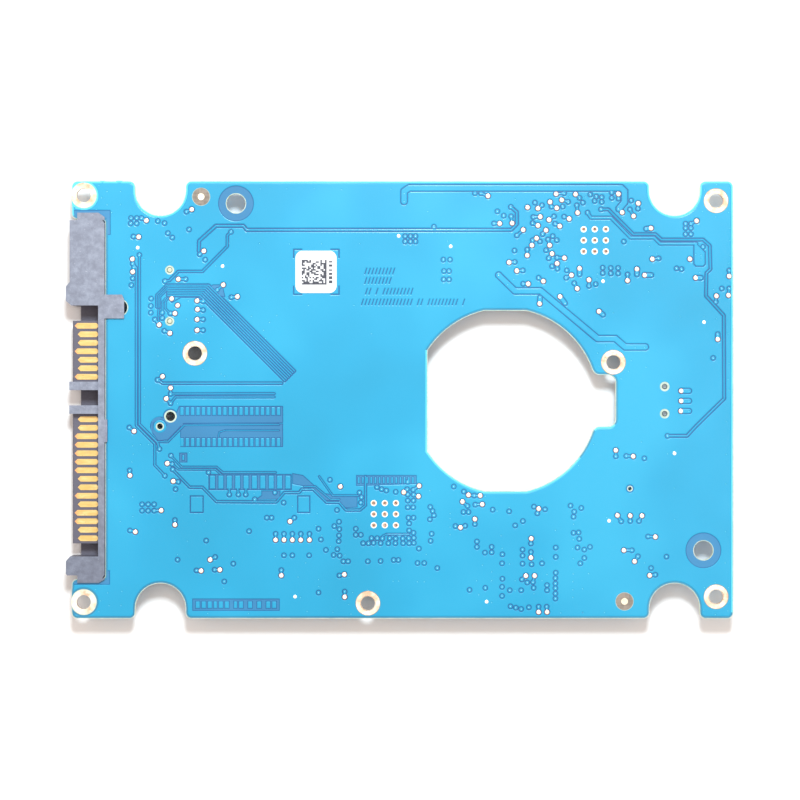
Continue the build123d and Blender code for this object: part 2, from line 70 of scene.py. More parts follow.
class Paint:
    """A Principled material with a small tool set for its procedural nodes."""

    def __init__(self, name, roughness=0.5, metallic=0.0, specular=0.5):
        self.mat = bpy.data.materials.new(name)
        self.mat.use_nodes = True
        self.tree = self.mat.node_tree
        self.shader = self.tree.nodes["Principled BSDF"]
        self.shader.inputs["Roughness"].default_value = roughness
        self.shader.inputs["Metallic"].default_value = metallic
        self.shader.inputs["Specular IOR Level"].default_value = specular
        self.place = self.node("ShaderNodeTexCoord").outputs["Object"]

    def node(self, kind, **settings):
        made = self.tree.nodes.new(kind)
        for key, value in settings.items():
            setattr(made, key, value)
        return made

    def link(self, source, target):
        self.tree.links.new(source, target)

    def noise(self, size, detail=3.0, rough=0.55, stretch=None):
        """Noise with features about this many millimetres across."""
        made = self.node("ShaderNodeTexNoise")
        made.inputs["Scale"].default_value = 1 / (size * MM)
        made.inputs["Detail"].default_value = detail
        made.inputs["Roughness"].default_value = rough
        if stretch:
            mapping = self.node("ShaderNodeMapping")
            mapping.inputs["Scale"].default_value = stretch
            self.link(self.place, mapping.inputs["Vector"])
            self.link(mapping.outputs["Vector"], made.inputs["Vector"])
        else:
            self.link(self.place, made.inputs["Vector"])
        return made.outputs["Fac"]

    def ramp(self, factor, *stops):
        """A colour ramp from (position, display colour) stops."""
        made = self.node("ShaderNodeValToRGB")
        line = made.color_ramp
        while len(line.elements) < len(stops):
            line.elements.new(0.5)
        for element, (position, colour) in zip(line.elements, stops):
            element.position = position
            element.color = linear(colour)
        self.link(factor, made.inputs["Fac"])
        return made.outputs["Color"]

    def math(self, operation, a, b=None):
        made = self.node("ShaderNodeMath", operation=operation)
        for socket, value in zip(made.inputs, (a, b)):
            if value is None:
                continue
            if isinstance(value, (int, float)):
                socket.default_value = value
            else:
                self.link(value, socket)
        return made.outputs["Value"]

    def mix(self, factor, a, b, blend="MIX"):
        """Mix two colours; each may be a socket or a display colour."""
        made = self.node("ShaderNodeMix", data_type="RGBA", blend_type=blend)
        for socket, value in ((made.inputs[MIX_A], a), (made.inputs[MIX_B], b)):
            if isinstance(value, tuple):
                socket.default_value = linear(value)
            else:
                self.link(value, socket)
        if isinstance(factor, (int, float)):
            made.inputs[MIX_FACTOR].default_value = factor
        else:
            self.link(factor, made.inputs[MIX_FACTOR])
        return made.outputs[MIX_RESULT]

    def axis(self, source, index):
        made = self.node("ShaderNodeSeparateXYZ")
        self.link(source, made.inputs["Vector"])
        return made.outputs[index]

    def range(self, value, low, high):
        """0 below low, 1 above high."""
        made = self.node("ShaderNodeMapRange", clamp=True)
        made.inputs["From Min"].default_value = low
        made.inputs["From Max"].default_value = high
        self.link(value, made.inputs["Value"])
        return made.outputs["Result"]

    def facing_up(self):
        """1 on faces that look along +Z or -Z, 0 on side walls."""
        normal = self.node("ShaderNodeNewGeometry").outputs["True Normal"]
        return self.range(self.math("ABSOLUTE", self.axis(normal, 2)), 0.4, 0.8)

    def near(self, x, y, radius):
        """1 within a radius of an upright line, 0 outside, with a soft edge."""
        soft = 0.05
        made = self.node("ShaderNodeVectorMath", operation="DISTANCE")
        flat = self.node("ShaderNodeVectorMath", operation="MULTIPLY")
        flat.inputs[1].default_value = (1, 1, 0)
        self.link(self.place, flat.inputs[0])
        self.link(flat.outputs["Vector"], made.inputs[0])
        made.inputs[1].default_value = (x * MM, y * MM, 0)
        inside = self.range(made.outputs["Value"], (radius - soft) * MM, (radius + soft) * MM)
        return self.math("SUBTRACT", 1.0, inside)

    def colour(self, source):
        self.link(source, self.shader.inputs["Base Color"])

    def rough(self, source, low, high):
        made = self.node("ShaderNodeMapRange", clamp=True)
        made.inputs["To Min"].default_value = low
        made.inputs["To Max"].default_value = high
        self.link(source, made.inputs["Value"])
        self.link(made.outputs["Result"], self.shader.inputs["Roughness"])

    def bump(self, height, depth):
        """Surface relief whose full height is depth millimetres."""
        made = self.node("ShaderNodeBump")
        made.inputs["Distance"].default_value = depth * MM
        made.inputs["Strength"].default_value = 1.0
        self.link(height, made.inputs["Height"])
        self.link(made.outputs["Normal"], self.shader.inputs["Normal"])


def mask_paint(name, depth, low, mid, high):
    """Solder mask: slow colour drift, faint specks and a film with waves of this depth."""
    paint = Paint(name, roughness=0.3)
    drift = paint.ramp(paint.noise(22, 2), (0.34, low), (0.5, mid), (0.68, high))
    drift = paint.mix(paint.math("MULTIPLY", paint.noise(0.9, 2), 0.08), drift, high)
    specks = paint.range(paint.noise(0.32, 1), 0.66, 0.74)
    paint.colour(paint.mix(paint.math("MULTIPLY", specks, 0.10), drift, high))
    paint.bump(paint.noise(1.4, 3), depth)
    return paint.mat


def solder_paint(name, shade=(255, 255, 252), warm=(255, 244, 214), metallic=0.25, lumps=0.5):
    """Bright tinned solder with warm patches."""
    paint = Paint(name, roughness=0.28, metallic=metallic, specular=0.6)
    patches = paint.ramp(paint.noise(lumps, 2), (0.42, shade), (0.68, warm))
    paint.colour(patches)
    paint.bump(paint.noise(lumps * 0.6, 2), 0.012)
    return paint.mat


def land_paint():
    """Tinned ring round a screw hole: cream, with peach stains and a copper barrel."""
    paint = Paint("screw_land_tin", roughness=0.3, metallic=0.15, specular=0.6)
    base = paint.ramp(paint.noise(1.3, 3), (0.36, (244, 244, 234)), (0.5, (240, 232, 206)),
                      (0.66, (226, 186, 152)))
    stain = paint.range(paint.noise(0.55, 3, 0.6), 0.60, 0.72)
    base = paint.mix(paint.math("MULTIPLY", stain, 0.75), base, (190, 134, 100))
    paint.colour(paint.mix(paint.facing_up(), (196, 150, 112), base))
    paint.bump(paint.noise(0.7, 3), 0.02)
    return paint.mat


def via_paint():
    """Thermal via: tinned land, bare copper down the hole."""
    paint = Paint("thermal_via_tin", roughness=0.3, metallic=0.2, specular=0.6)
    tin = paint.ramp(paint.noise(0.5, 2), (0.4, (255, 255, 252)), (0.7, (255, 236, 206)))
    paint.colour(paint.mix(paint.facing_up(), (226, 154, 112), tin))
    paint.bump(paint.noise(0.3, 2), 0.01)
    return paint.mat


def fiducial_paint():
    paint = Paint("fiducial_copper", roughness=0.35, metallic=0.3, specular=0.5)
    paint.colour(paint.ramp(paint.noise(0.4, 2), (0.35, (250, 240, 216)), (0.7, (238, 218, 184))))
    paint.bump(paint.noise(0.25, 2), 0.006)
    return paint.mat


def laminate_paint(fiducials):
    """Glass-fibre laminate: pale routed edges, brown-grey where the copper is cleared."""
    paint = Paint("glass_fibre_laminate", roughness=0.62, specular=0.3)
    weave_x = paint.noise(0.35, 1, stretch=(1, 0.16, 1))
    weave_y = paint.noise(0.35, 1, stretch=(0.16, 1, 1))
    weave = paint.math("MULTIPLY", paint.math("ADD", weave_x, weave_y), 0.5)
    edge = paint.ramp(weave, (0.4, (176, 200, 184)), (0.6, (206, 220, 206)))
    layers = paint.range(paint.noise(0.22, 2, stretch=(0.05, 0.05, 1)), 0.45, 0.62)
    wall = paint.mix(layers, (226, 226, 196), (186, 190, 150))
    base = paint.mix(paint.facing_up(), wall, edge)
    cleared = paint.ramp(weave, (0.4, (132, 122, 112)), (0.6, (156, 144, 132)))
    for x, y in fiducials:
        base = paint.mix(paint.near(x, y, 1.3), base, cleared)
    paint.colour(base)
    paint.bump(weave, 0.012)
    return paint.mat


def plastic_paint(name, dark, mid, light, roughness=0.5, grain=0.5, depth=0.012, spots=None,
                  painted_shade_below=None):
    """Moulded plastic with fine grain and flow marks.

    The last argument is (height, colour): parts below that height take the colour as painted
    shade, and painted shade darkens the plastic towards the low end of Y.
    """
    paint = Paint(name, roughness=roughness, specular=0.4)
    mottled = paint.ramp(paint.noise(grain * 2.2, 4, 0.65), (0.34, dark), (0.5, mid),
                         (0.68, light))
    flow = paint.noise(3.5, 2, stretch=(1, 0.35, 1))
    mottled = paint.mix(paint.math("MULTIPLY", flow, 0.18), mottled, light)
    if spots:
        picked = paint.range(paint.noise(0.3, 2), 0.66, 0.72)
        mottled = paint.mix(paint.math("MULTIPLY", picked, 0.5), mottled, spots)
    if painted_shade_below:
        # painted shade: darker towards the low end of Y, and the shade colour below the given
        # height
        level, shade = painted_shade_below
        shaded_end = paint.range(paint.axis(paint.place, 1), -28 * MM, -4 * MM)
        mottled = paint.mix(paint.math("SUBTRACT", 0.45, paint.math("MULTIPLY", shaded_end, 0.45)),
                            mottled, dark, "MULTIPLY")
        raised = paint.range(paint.axis(paint.place, 2), level * MM, (level + 0.7) * MM)
        mottled = paint.mix(raised, shade, mottled)
    paint.colour(mottled)
    paint.rough(paint.noise(grain, 2), roughness - 0.1, roughness + 0.12)
    paint.bump(paint.noise(grain * 0.35, 3), depth)
    return paint.mat


def gold_paint(name, rose, worn_to=None):
    """Thin gold plating with rubbed patches; worn_to is how far along X the tips are worn."""
    paint = Paint(name, roughness=0.3, metallic=0.35, specular=0.6)
    base = paint.ramp(paint.noise(0.8, 3, stretch=(0.4, 1.6, 1)), (0.35, (226, 186, 108)),
                      (0.55, (234, 198, 124)), (0.7, (240, 212, 148)))
    worn = paint.range(paint.noise(0.7, 2), 0.56, 0.7)
    base = paint.mix(paint.math("MULTIPLY", worn, 0.4), base, rose)
    if worn_to:
        kept = paint.range(paint.axis(paint.place, 0), (worn_to - 0.7) * MM, worn_to * MM)
        base = paint.mix(kept, rose, base)
    paint.colour(base)
    paint.rough(paint.noise(0.5, 2), 0.22, 0.42)
    paint.bump(paint.noise(0.25, 2, stretch=(0.3, 2, 1)), 0.004)
    return paint.mat


def tin_paint():
    """Matte tin plating with soft streaks."""
    paint = Paint("tinned_lead", roughness=0.36, metallic=0.7)
    paint.colour(paint.ramp(paint.noise(0.4, 3, stretch=(1, 2.5, 1)), (0.35, (196, 196, 194)),
                            (0.65, (232, 231, 226))))
    paint.rough(paint.noise(0.3, 2), 0.28, 0.48)
    paint.bump(paint.noise(0.12, 2), 0.004)
    return paint.mat


def paper_paint():
    """Coated label paper with fibres and a slightly warm tone."""
    paint = Paint("label_paper", roughness=0.55, specular=0.35)
    fibres = paint.noise(0.18, 3, stretch=(1, 3, 1))
    paint.colour(paint.ramp(fibres, (0.3, (226, 228, 230)), (0.7, (235, 236, 238))))
    paint.bump(fibres, 0.004)
    return paint.mat


def ink_paint():
    paint = Paint("printed_ink", roughness=0.5, specular=0.3)
    paint.colour(paint.ramp(paint.noise(0.15, 2), (0.3, (60, 62, 72)), (0.75, (84, 86, 96))))
    paint.bump(paint.noise(0.1, 1), 0.001)
    return paint.mat


def ceramic_paint(name, dark, light, speck):
    """Fired ceramic body with fine specks."""
    paint = Paint(name, roughness=0.55, specular=0.4)
    base = paint.ramp(paint.noise(0.5, 3), (0.35, dark), (0.65, light))
    dots = paint.range(paint.noise(0.09, 1), 0.62, 0.70)
    paint.colour(paint.mix(paint.math("MULTIPLY", dots, 0.6), base, speck))
    paint.bump(paint.noise(0.12, 2), 0.006)
    return paint.mat


def dress(material, *names):
    """Give carried-over CAD nodes their material."""
    for name in names:
        for slot in NODES[name].material_slots:
            slot.material = material


FIDUCIALS = ((-29.6, 30.2), (33.5, -30.1))           # where the CAD model has them
# Looks of the solder mask; each name under the table is a place in it. The lit and shaded edge
# looks are a painted highlight and a painted shade, lit and shaded copies of the mask.
MASK_LOOKS = [mask_paint(*look) for look in (
    ("mask_over_copper", 0.004, (12, 152, 194), (18, 158, 202), (34, 168, 210)),
    ("mask_over_laminate", 0.008, (40, 118, 166), (46, 128, 178), (60, 142, 190)),
    # painted highlight and painted shade: lit and shaded copies of the mask colour
    ("mask_painted_highlight", 0.008, (60, 190, 214), (76, 200, 222), (96, 208, 228)),
    ("mask_painted_shade", 0.008, (34, 116, 152), (44, 130, 166), (60, 146, 180)),
    ("mask_over_via", 0.004, (8, 130, 180), (14, 138, 188), (30, 150, 198)),
    ("mask_in_grooves", 0.008, (8, 82, 136), (12, 92, 148), (24, 106, 162)),
    # painted glint in the core of small via dimples, standing in for a reflection
    ("mask_painted_via_glint", 0.004, (150, 226, 240), (164, 232, 244), (180, 238, 248)),
)]
ON_COPPER, ON_LAMINATE, PAINTED_HIGHLIGHT, PAINTED_SHADE, ON_VIA, IN_GROOVE, VIA_GLINT = range(7)
SOLDER = solder_paint("bright_solder")
COPPER_RIM = solder_paint("copper_rim", (168, 104, 84), (206, 146, 110), metallic=0.5, lumps=0.3)
GOLD = gold_paint("gold_plating", (236, 168, 112), worn_to=-47.8)
SPRING_GOLD = gold_paint("spring_gold", (214, 170, 96))
TIN = tin_paint()

dress(laminate_paint(FIDUCIALS), "circuit_board")
dress(land_paint(), "screw_hole_lands")
dress(via_paint(), "thermal_vias")
dress(fiducial_paint(), "fiducial_marks")
dress(paper_paint(), "identification_label")
# The plug's low parts and its low-Y end get painted shade.
PLUG_PLASTIC = plastic_paint("plug_plastic", (122, 127, 143), (134, 140, 157), (150, 157, 174),
                             roughness=0.46, grain=0.5, depth=0.03, spots=(186, 190, 202),
                             painted_shade_below=(3.3, (96, 94, 108)))
dress(PLUG_PLASTIC, "sata_housing")
dress(plastic_paint("black_plastic", (52, 52, 60), (66, 66, 76), (86, 86, 98)),
      "motor_connector_housing")
dress(plastic_paint("natural_plastic", (198, 200, 176), (208, 210, 188), (220, 222, 202)),
      "head_connector_housing")
dress(GOLD, "sata_signal_contacts", "sata_power_contacts")
dress(SPRING_GOLD, "head_contact_tails", "motor_contact_tails", "head_spring_row_near",
      "head_spring_row_far", "motor_spring_1", "motor_spring_2", "motor_spring_3")
dress(plastic_paint("chip_resin", (34, 34, 37), (42, 42, 46), (56, 56, 60), roughness=0.6,
                    grain=0.3, depth=0.02),
      "controller_chip", "memory_chip", "motor_driver_chip", "regulator_chip", "flash_chip",
      "transistors", "surge_diodes")
dress(TIN, "sata_solder_tabs", "controller_leads", "controller_heat_pad",
      "memory_solder_balls", "motor_driver_pads", "regulator_pads", "flash_leads",
      "crystal_lid", "transistor_leads", "inductor_terminals", "tantalum_terminals",
      "surge_diode_leads", "shock_sensor_ends", "bulk_capacitor_ends",
      "ceramic_capacitor_ends", "resistor_ends")
dress(ceramic_paint("sensor_ceramic", (196, 184, 160), (216, 206, 182), (150, 136, 110)),
      "crystal_base", "shock_sensors")
dress(ceramic_paint("ferrite_core", (62, 62, 66), (82, 82, 86), (120, 120, 124)),
      "power_inductors")
dress(plastic_paint("tantalum_resin", (196, 140, 40), (212, 156, 52), (228, 176, 74),
                    grain=0.4), "tantalum_capacitors")
dress(ceramic_paint("capacitor_ceramic", (160, 124, 92), (182, 146, 110), (120, 88, 62)),
      "bulk_capacitors", "ceramic_capacitors")
dress(ceramic_paint("resistor_glaze", (34, 36, 40), (50, 52, 58), (90, 92, 98)), "resistors")


# ================================================================ layout of the outer face
def rectangle(x0, x1, y0, y1):
    return [(x0, y0), (x1, y0), (x1, y1), (x0, y1)]


def spread(first, pitch, count):
    return [first + i * pitch for i in range(count)]


# Mask-covered vias with a clear ring round them
VIAS = [
    (-40.05, 27.0), (-39.2, 27.0), (-38.5, 27.0), (-40.1, 26.2), (-39.2, 26.2), (-36.05, 26.55),
    (-35.05, 26.25), (-34.55, 24.75), (-33.9, 24.1), (-31.8, 27.95), (-31.4, 25.3),
    (-39.7, 24.25), (-38.8, 21.5), (-39.8, 20.2), (-39.6, 19.7), (-39.8, 18.0), (-40.0, 17.0),
    (-29.8, 21.6), (-29.0, 20.8), (-25.15, 24.95), (-35.0, 17.6), (-31.9, 17.9), (-27.2, 16.3),
    (-25.1, 15.2), (-37.05, 15.0), (-37.1, 13.9), (-37.1, 12.9), (-36.5, 11.9), (-35.4, 12.9),
    (-35.4, 12.1), (-35.1, 10.2), (-34.2, 12.8), (-29.3, 14.6), (-29.3, 13.3), (-29.3, 11.9),
    (-29.3, 10.3), (-36.1, 2.9), (-34.15, 0.8), (-34.15, -0.6), (-40.3, -4.2), (-40.25, -10.6),
    (-35.8, -7.4), (-35.0, -11.4), (-34.1, -8.4), (-33.9, -9.65), (-33.85, -10.45),
    (-33.0, -12.3), (-33.4, -13.4), (-28.5, -10.9), (-25.4, -14.2), (-24.05, -14.2),
    (-22.95, -14.2), (-21.6, -14.9), (-38.4, -15.65), (-37.5, -15.65), (-36.6, -15.65),
    (-38.4, -16.6), (-37.5, -16.6), (-36.6, -16.6), (-33.5, -18.0), (-40.2, -19.55),
    (-33.1, -23.9), (-30.3, -25.5), (-28.85, -21.05), (-27.5, -23.5), (-27.6, -25.4),
    (-26.15, -27.15), (-24.8, -24.5), (-22.45, -19.65), (-19.8, -17.65), (-19.1, -17.65),
    (-18.6, -13.9), (-17.3, -15.4), (-15.7, -17.65), (-18.5, -20.05), (-17.25, -20.05),
    (-16.0, -20.05), (-14.75, -20.05), (-13.45, -20.05), (-12.1, -19.3), (-11.75, -20.9),
    (-17.25, -23.25), (-16.0, -23.25), (-13.5, -23.25), (-17.65, -25.45), (-10.4, -12.0),
    (-9.35, -16.5), (-9.05, -18.25), (-9.75, -18.9), (-9.0, -19.35), (-9.05, -20.3),
    (-9.1, -21.15), (-6.55, -19.3), (-6.55, -20.2), (-5.8, -20.2), (-11.0, -22.45),
    (-9.3, -22.35), (-9.85, -23.2), (-8.95, -23.3), (-8.4, -24.15), (-7.7, -24.15),
    (-4.75, -24.15), (-2.85, -24.1), (-0.9, -23.95), (-0.2, -23.95), (-9.0, -26.25),
    (-8.2, -28.65), (-12.1, -28.8), (-6.0, -13.9), (-5.7, -14.6), (-5.8, -15.4), (-3.4, -13.1),
    (-2.7, -13.4), (-2.0, -13.6), (-0.6, -13.8), (1.1, -13.4), (2.0, -13.5), (1.2, -14.2),
    (2.05, -14.2), (1.2, -15.1), (2.05, -15.1), (1.2, -16.1), (2.0, -16.1), (1.3, -17.65),
    (2.05, -17.65), (1.4, -18.5), (1.4, -19.55), (2.05, -19.9), (1.2, -12.3),
    (-4.2, -20.7), (-3.35, -20.7), (-2.6, -20.75), (-1.5, -20.7), (-0.6, -20.75),
    (0.45, -20.75), (1.35, -20.7), (2.1, -20.65), (-5.45, -21.45), (-4.65, -21.45),
    (-3.9, -21.4), (-2.85, -21.45), (-1.7, -21.45), (-0.65, -21.45), (0.5, -21.45),
    (1.4, -21.45), (2.1, -21.4), (2.85, -22.25), (2.65, -24.4), (3.65, -24.4), (4.75, -20.05),
    (4.6, -21.1), (5.6, -25.15), (4.55, -16.05), (4.9, -16.65), (5.1, -17.3), (4.5, -17.9),
    (8.05, -13.0), (9.55, -13.75), (11.1, -14.35), (10.1, -15.9), (11.25, -15.7), (9.5, -16.8),
    (10.25, -16.8), (8.3, -18.9), (9.75, -18.85), (11.2, -18.6), (13.85, -16.45),
    (16.3, -16.7), (17.2, -18.8), (18.35, -18.15), (20.0, -16.0), (21.65, -16.4),
    (20.5, -17.0), (25.45, -15.85), (26.0, -16.75), (25.9, -17.5), (27.05, -16.2),
    (11.5, -21.2), (11.5, -22.0), (13.7, -22.0), (13.7, -22.8), (12.7, -22.85), (15.3, -23.1),
    (15.25, -24.45), (18.3, -22.4), (18.3, -23.3), (18.3, -24.5), (19.55, -21.5),
    (19.55, -22.75), (19.65, -24.6), (21.2, -24.45), (23.25, -22.1), (23.25, -23.5),
    (25.9, -19.9), (26.65, -19.85), (26.75, -20.8), (26.5, -22.1), (27.5, -22.4),
    (28.35, -22.0), (27.5, -23.65), (26.9, -24.45), (15.3, -26.75), (15.25, -27.95),
    (15.25, -29.3), (16.4, -28.45), (18.1, -28.45), (18.2, -26.85), (19.0, -27.3),
    (19.85, -27.25), (19.95, -28.1), (21.95, -27.7), (21.95, -28.45), (23.25, -25.85),
    (23.2, -26.65), (23.2, -27.45), (23.2, -28.15), (23.2, -28.95), (23.2, -29.7),
    (10.4, -28.4), (12.75, -28.1), (16.5, -30.85), (17.3, -31.05), (18.1, -31.25),
    (19.25, -31.0), (20.7, -30.9), (21.9, -30.9), (39.9, -5.45), (32.2, -8.5), (33.75, -8.45),
    (36.45, -8.8), (33.0, -18.2), (34.35, -18.15), (35.65, -18.15), (37.0, -20.45),
    (34.6, -22.5), (35.5, -23.4), (37.45, -25.15), (38.1, -26.15), (39.75, -23.45),
    (30.3, 12.6), (47.4, 9.7), (47.1, 14.5), (46.7, 6.15),
    (11.2, 30.7), (12.1, 30.7), (5.1, 25.7), (0.8, 24.3), (1.6, 24.3), (2.35, 24.3),
    (0.8, 23.5), (1.6, 23.5), (2.35, 23.5), (6.5, 20.8), (7.5, 20.8), (6.6, 19.1),
    (7.35, 19.1), (6.55, 17.85), (7.35, 17.85), (14.55, 28.0), (15.5, 27.35), (14.05, 26.2),
    (16.55, 28.65), (16.6, 27.25), (17.45, 24.4), (20.15, 29.3), (21.2, 28.9), (19.9, 27.15),
    (19.8, 26.25), (22.6, 28.7), (24.3, 28.7), (24.5, 30.7), (23.0, 27.25), (23.15, 26.15),
    (24.5, 27.2), (21.3, 24.6), (22.1, 23.8), (22.8, 24.3), (23.4, 23.7), (20.9, 23.5),
    (19.8, 23.7), (21.8, 22.2), (22.2, 21.0), (23.45, 21.1), (22.7, 19.8), (23.5, 19.45),
    (19.0, 22.3), (17.1, 22.15), (17.15, 20.45), (18.35, 19.2), (14.75, 18.5), (20.7, 18.1),
    (18.4, 17.2), (24.9, 19.2), (24.8, 18.1), (20.9, 15.2), (24.65, 14.3),
    (25.1, 29.4), (26.4, 28.9), (26.8, 30.0), (27.3, 29.3), (28.4, 30.5), (29.3, 30.2),
    (30.1, 30.1), (30.1, 29.4), (29.05, 29.55), (31.6, 30.8), (31.6, 30.0), (32.6, 29.9),
    (32.6, 28.4), (34.5, 29.6), (34.3, 28.3), (35.5, 28.4), (30.0, 28.3), (28.0, 27.8),
    (33.4, 23.5), (36.7, 25.4), (42.6, 26.15), (43.4, 26.15), (42.6, 25.5), (43.4, 25.5),
    (42.6, 24.6), (43.4, 24.6), (45.2, 22.7), (38.6, 21.0), (26.8, 18.6), (30.25, 19.6),
    (30.25, 18.8), (31.45, 19.55), (31.45, 18.75), (32.55, 19.55), (32.55, 18.75),
    (33.95, 18.6), (35.35, 18.6), (37.5, 18.5), (41.25, 19.5), (42.0, 19.4), (44.9, 18.1),
    (49.1, 19.2), (48.0, 16.5), (49.1, 16.5), (26.0, 17.3), (28.2, 16.9), (29.2, 17.15),
]

# Round test pads left bare and domed with solder
TEST_PADS = [
    (-31.0, 28.3), (-37.75, 26.65), (-38.9, 24.2), (-39.85, 20.9), (-39.8, 19.0),
    (-29.2, 22.1), (-33.0, 17.9), (-26.3, 17.05), (-34.0, 15.0), (-24.2, 15.3),
    (-33.1, 14.0), (-33.5, 12.8), (-35.85, 11.1), (-34.25, 9.85), (-30.2, 14.7),
    (-30.15, 13.4), (-30.2, 11.9), (-30.2, 10.3), (-35.35, 3.4), (-34.15, 1.7), (-34.8, 0.1),
    (-39.6, -4.75), (-40.2, -11.35), (-34.65, -9.55), (-33.75, -12.2), (-35.55, -16.55),
    (-39.4, -19.75), (-33.5, -18.7), (-29.6, -25.55), (-28.25, -23.9), (-26.8, -25.4),
    (-16.35, -18.2), (-18.5, -20.95), (-17.25, -20.95), (-16.0, -20.95), (-14.75, -20.95),
    (-13.45, -20.95), (-17.65, -26.25), (-8.25, -26.1), (-8.2, -29.45), (-8.85, -13.0),
    (2.9, -12.9), (0.6, -13.85), (2.8, -14.45), (10.25, -14.25), (12.0, -14.35),
    (9.35, -15.25), (12.3, -15.65), (11.2, -17.85), (9.05, -19.1), (20.7, -16.3),
    (19.6, -20.75), (19.55, -23.6), (18.8, -26.3), (20.1, -26.3), (20.7, -31.7),
    (21.95, -31.7), (32.2, -7.6), (34.8, -8.5), (32.45, -17.3), (34.35, -17.35),
    (36.1, -17.35), (38.1, -20.5), (33.4, -22.5), (35.0, -24.15), (37.25, -26.25),
    (29.7, 13.1), (47.4, 8.95), (41.95, 1.25), (41.95, -0.25), (41.9, -1.75),
    (13.15, 30.3), (14.9, 26.2), (16.75, 26.25), (19.05, 28.6), (20.6, 28.45), (22.4, 29.4),
    (23.3, 30.6), (24.15, 29.7), (23.4, 28.5), (20.95, 27.2), (20.6, 25.9), (22.25, 26.75),
    (23.85, 25.8), (21.8, 25.2), (18.4, 25.25), (20.4, 24.0), (19.7, 22.95), (22.35, 22.95),
    (19.0, 21.45), (22.7, 21.7), (24.55, 21.05), (23.45, 20.25), (16.3, 20.4),
    (17.45, 19.15), (21.4, 17.6), (19.15, 17.2), (23.9, 15.3), (20.85, 14.25),
    (26.2, 30.55), (26.5, 27.8), (25.25, 26.9), (32.6, 30.6), (33.15, 27.85), (34.85, 27.3),
    (35.55, 29.2), (37.45, 25.5), (44.25, 26.6), (37.65, 20.9), (43.25, 20.9), (26.8, 19.5),
    (28.2, 17.8), (25.6, 18.5), (26.45, 16.5), (33.95, 17.7), (35.35, 19.4), (36.5, 18.5),
    (44.1, 18.1), (49.1, 18.35), (49.0, 15.5), (47.2, 15.4),
]
# Test pads that share one wide island with their via
PILL_PADS = [
    (36.5, 18.5), (44.1, 18.1), (37.45, 25.5), (29.7, 13.1), (47.4, 8.95), (26.8, 19.5),
    (20.85, 14.25), (23.9, 15.3), (35.35, 19.4),
]
# Bare pads that stand in unbroken copper
OPEN_PADS = [
    (-39.05, 22.6), (-26.4, 19.85), (-0.15, 24.35), (7.6, 22.8), (30.3, 17.6), (45.35, 11.5),
    (-15.6, -29.4), (12.95, -30.15), (40.95, -8.05), (31.2, -18.1),
]
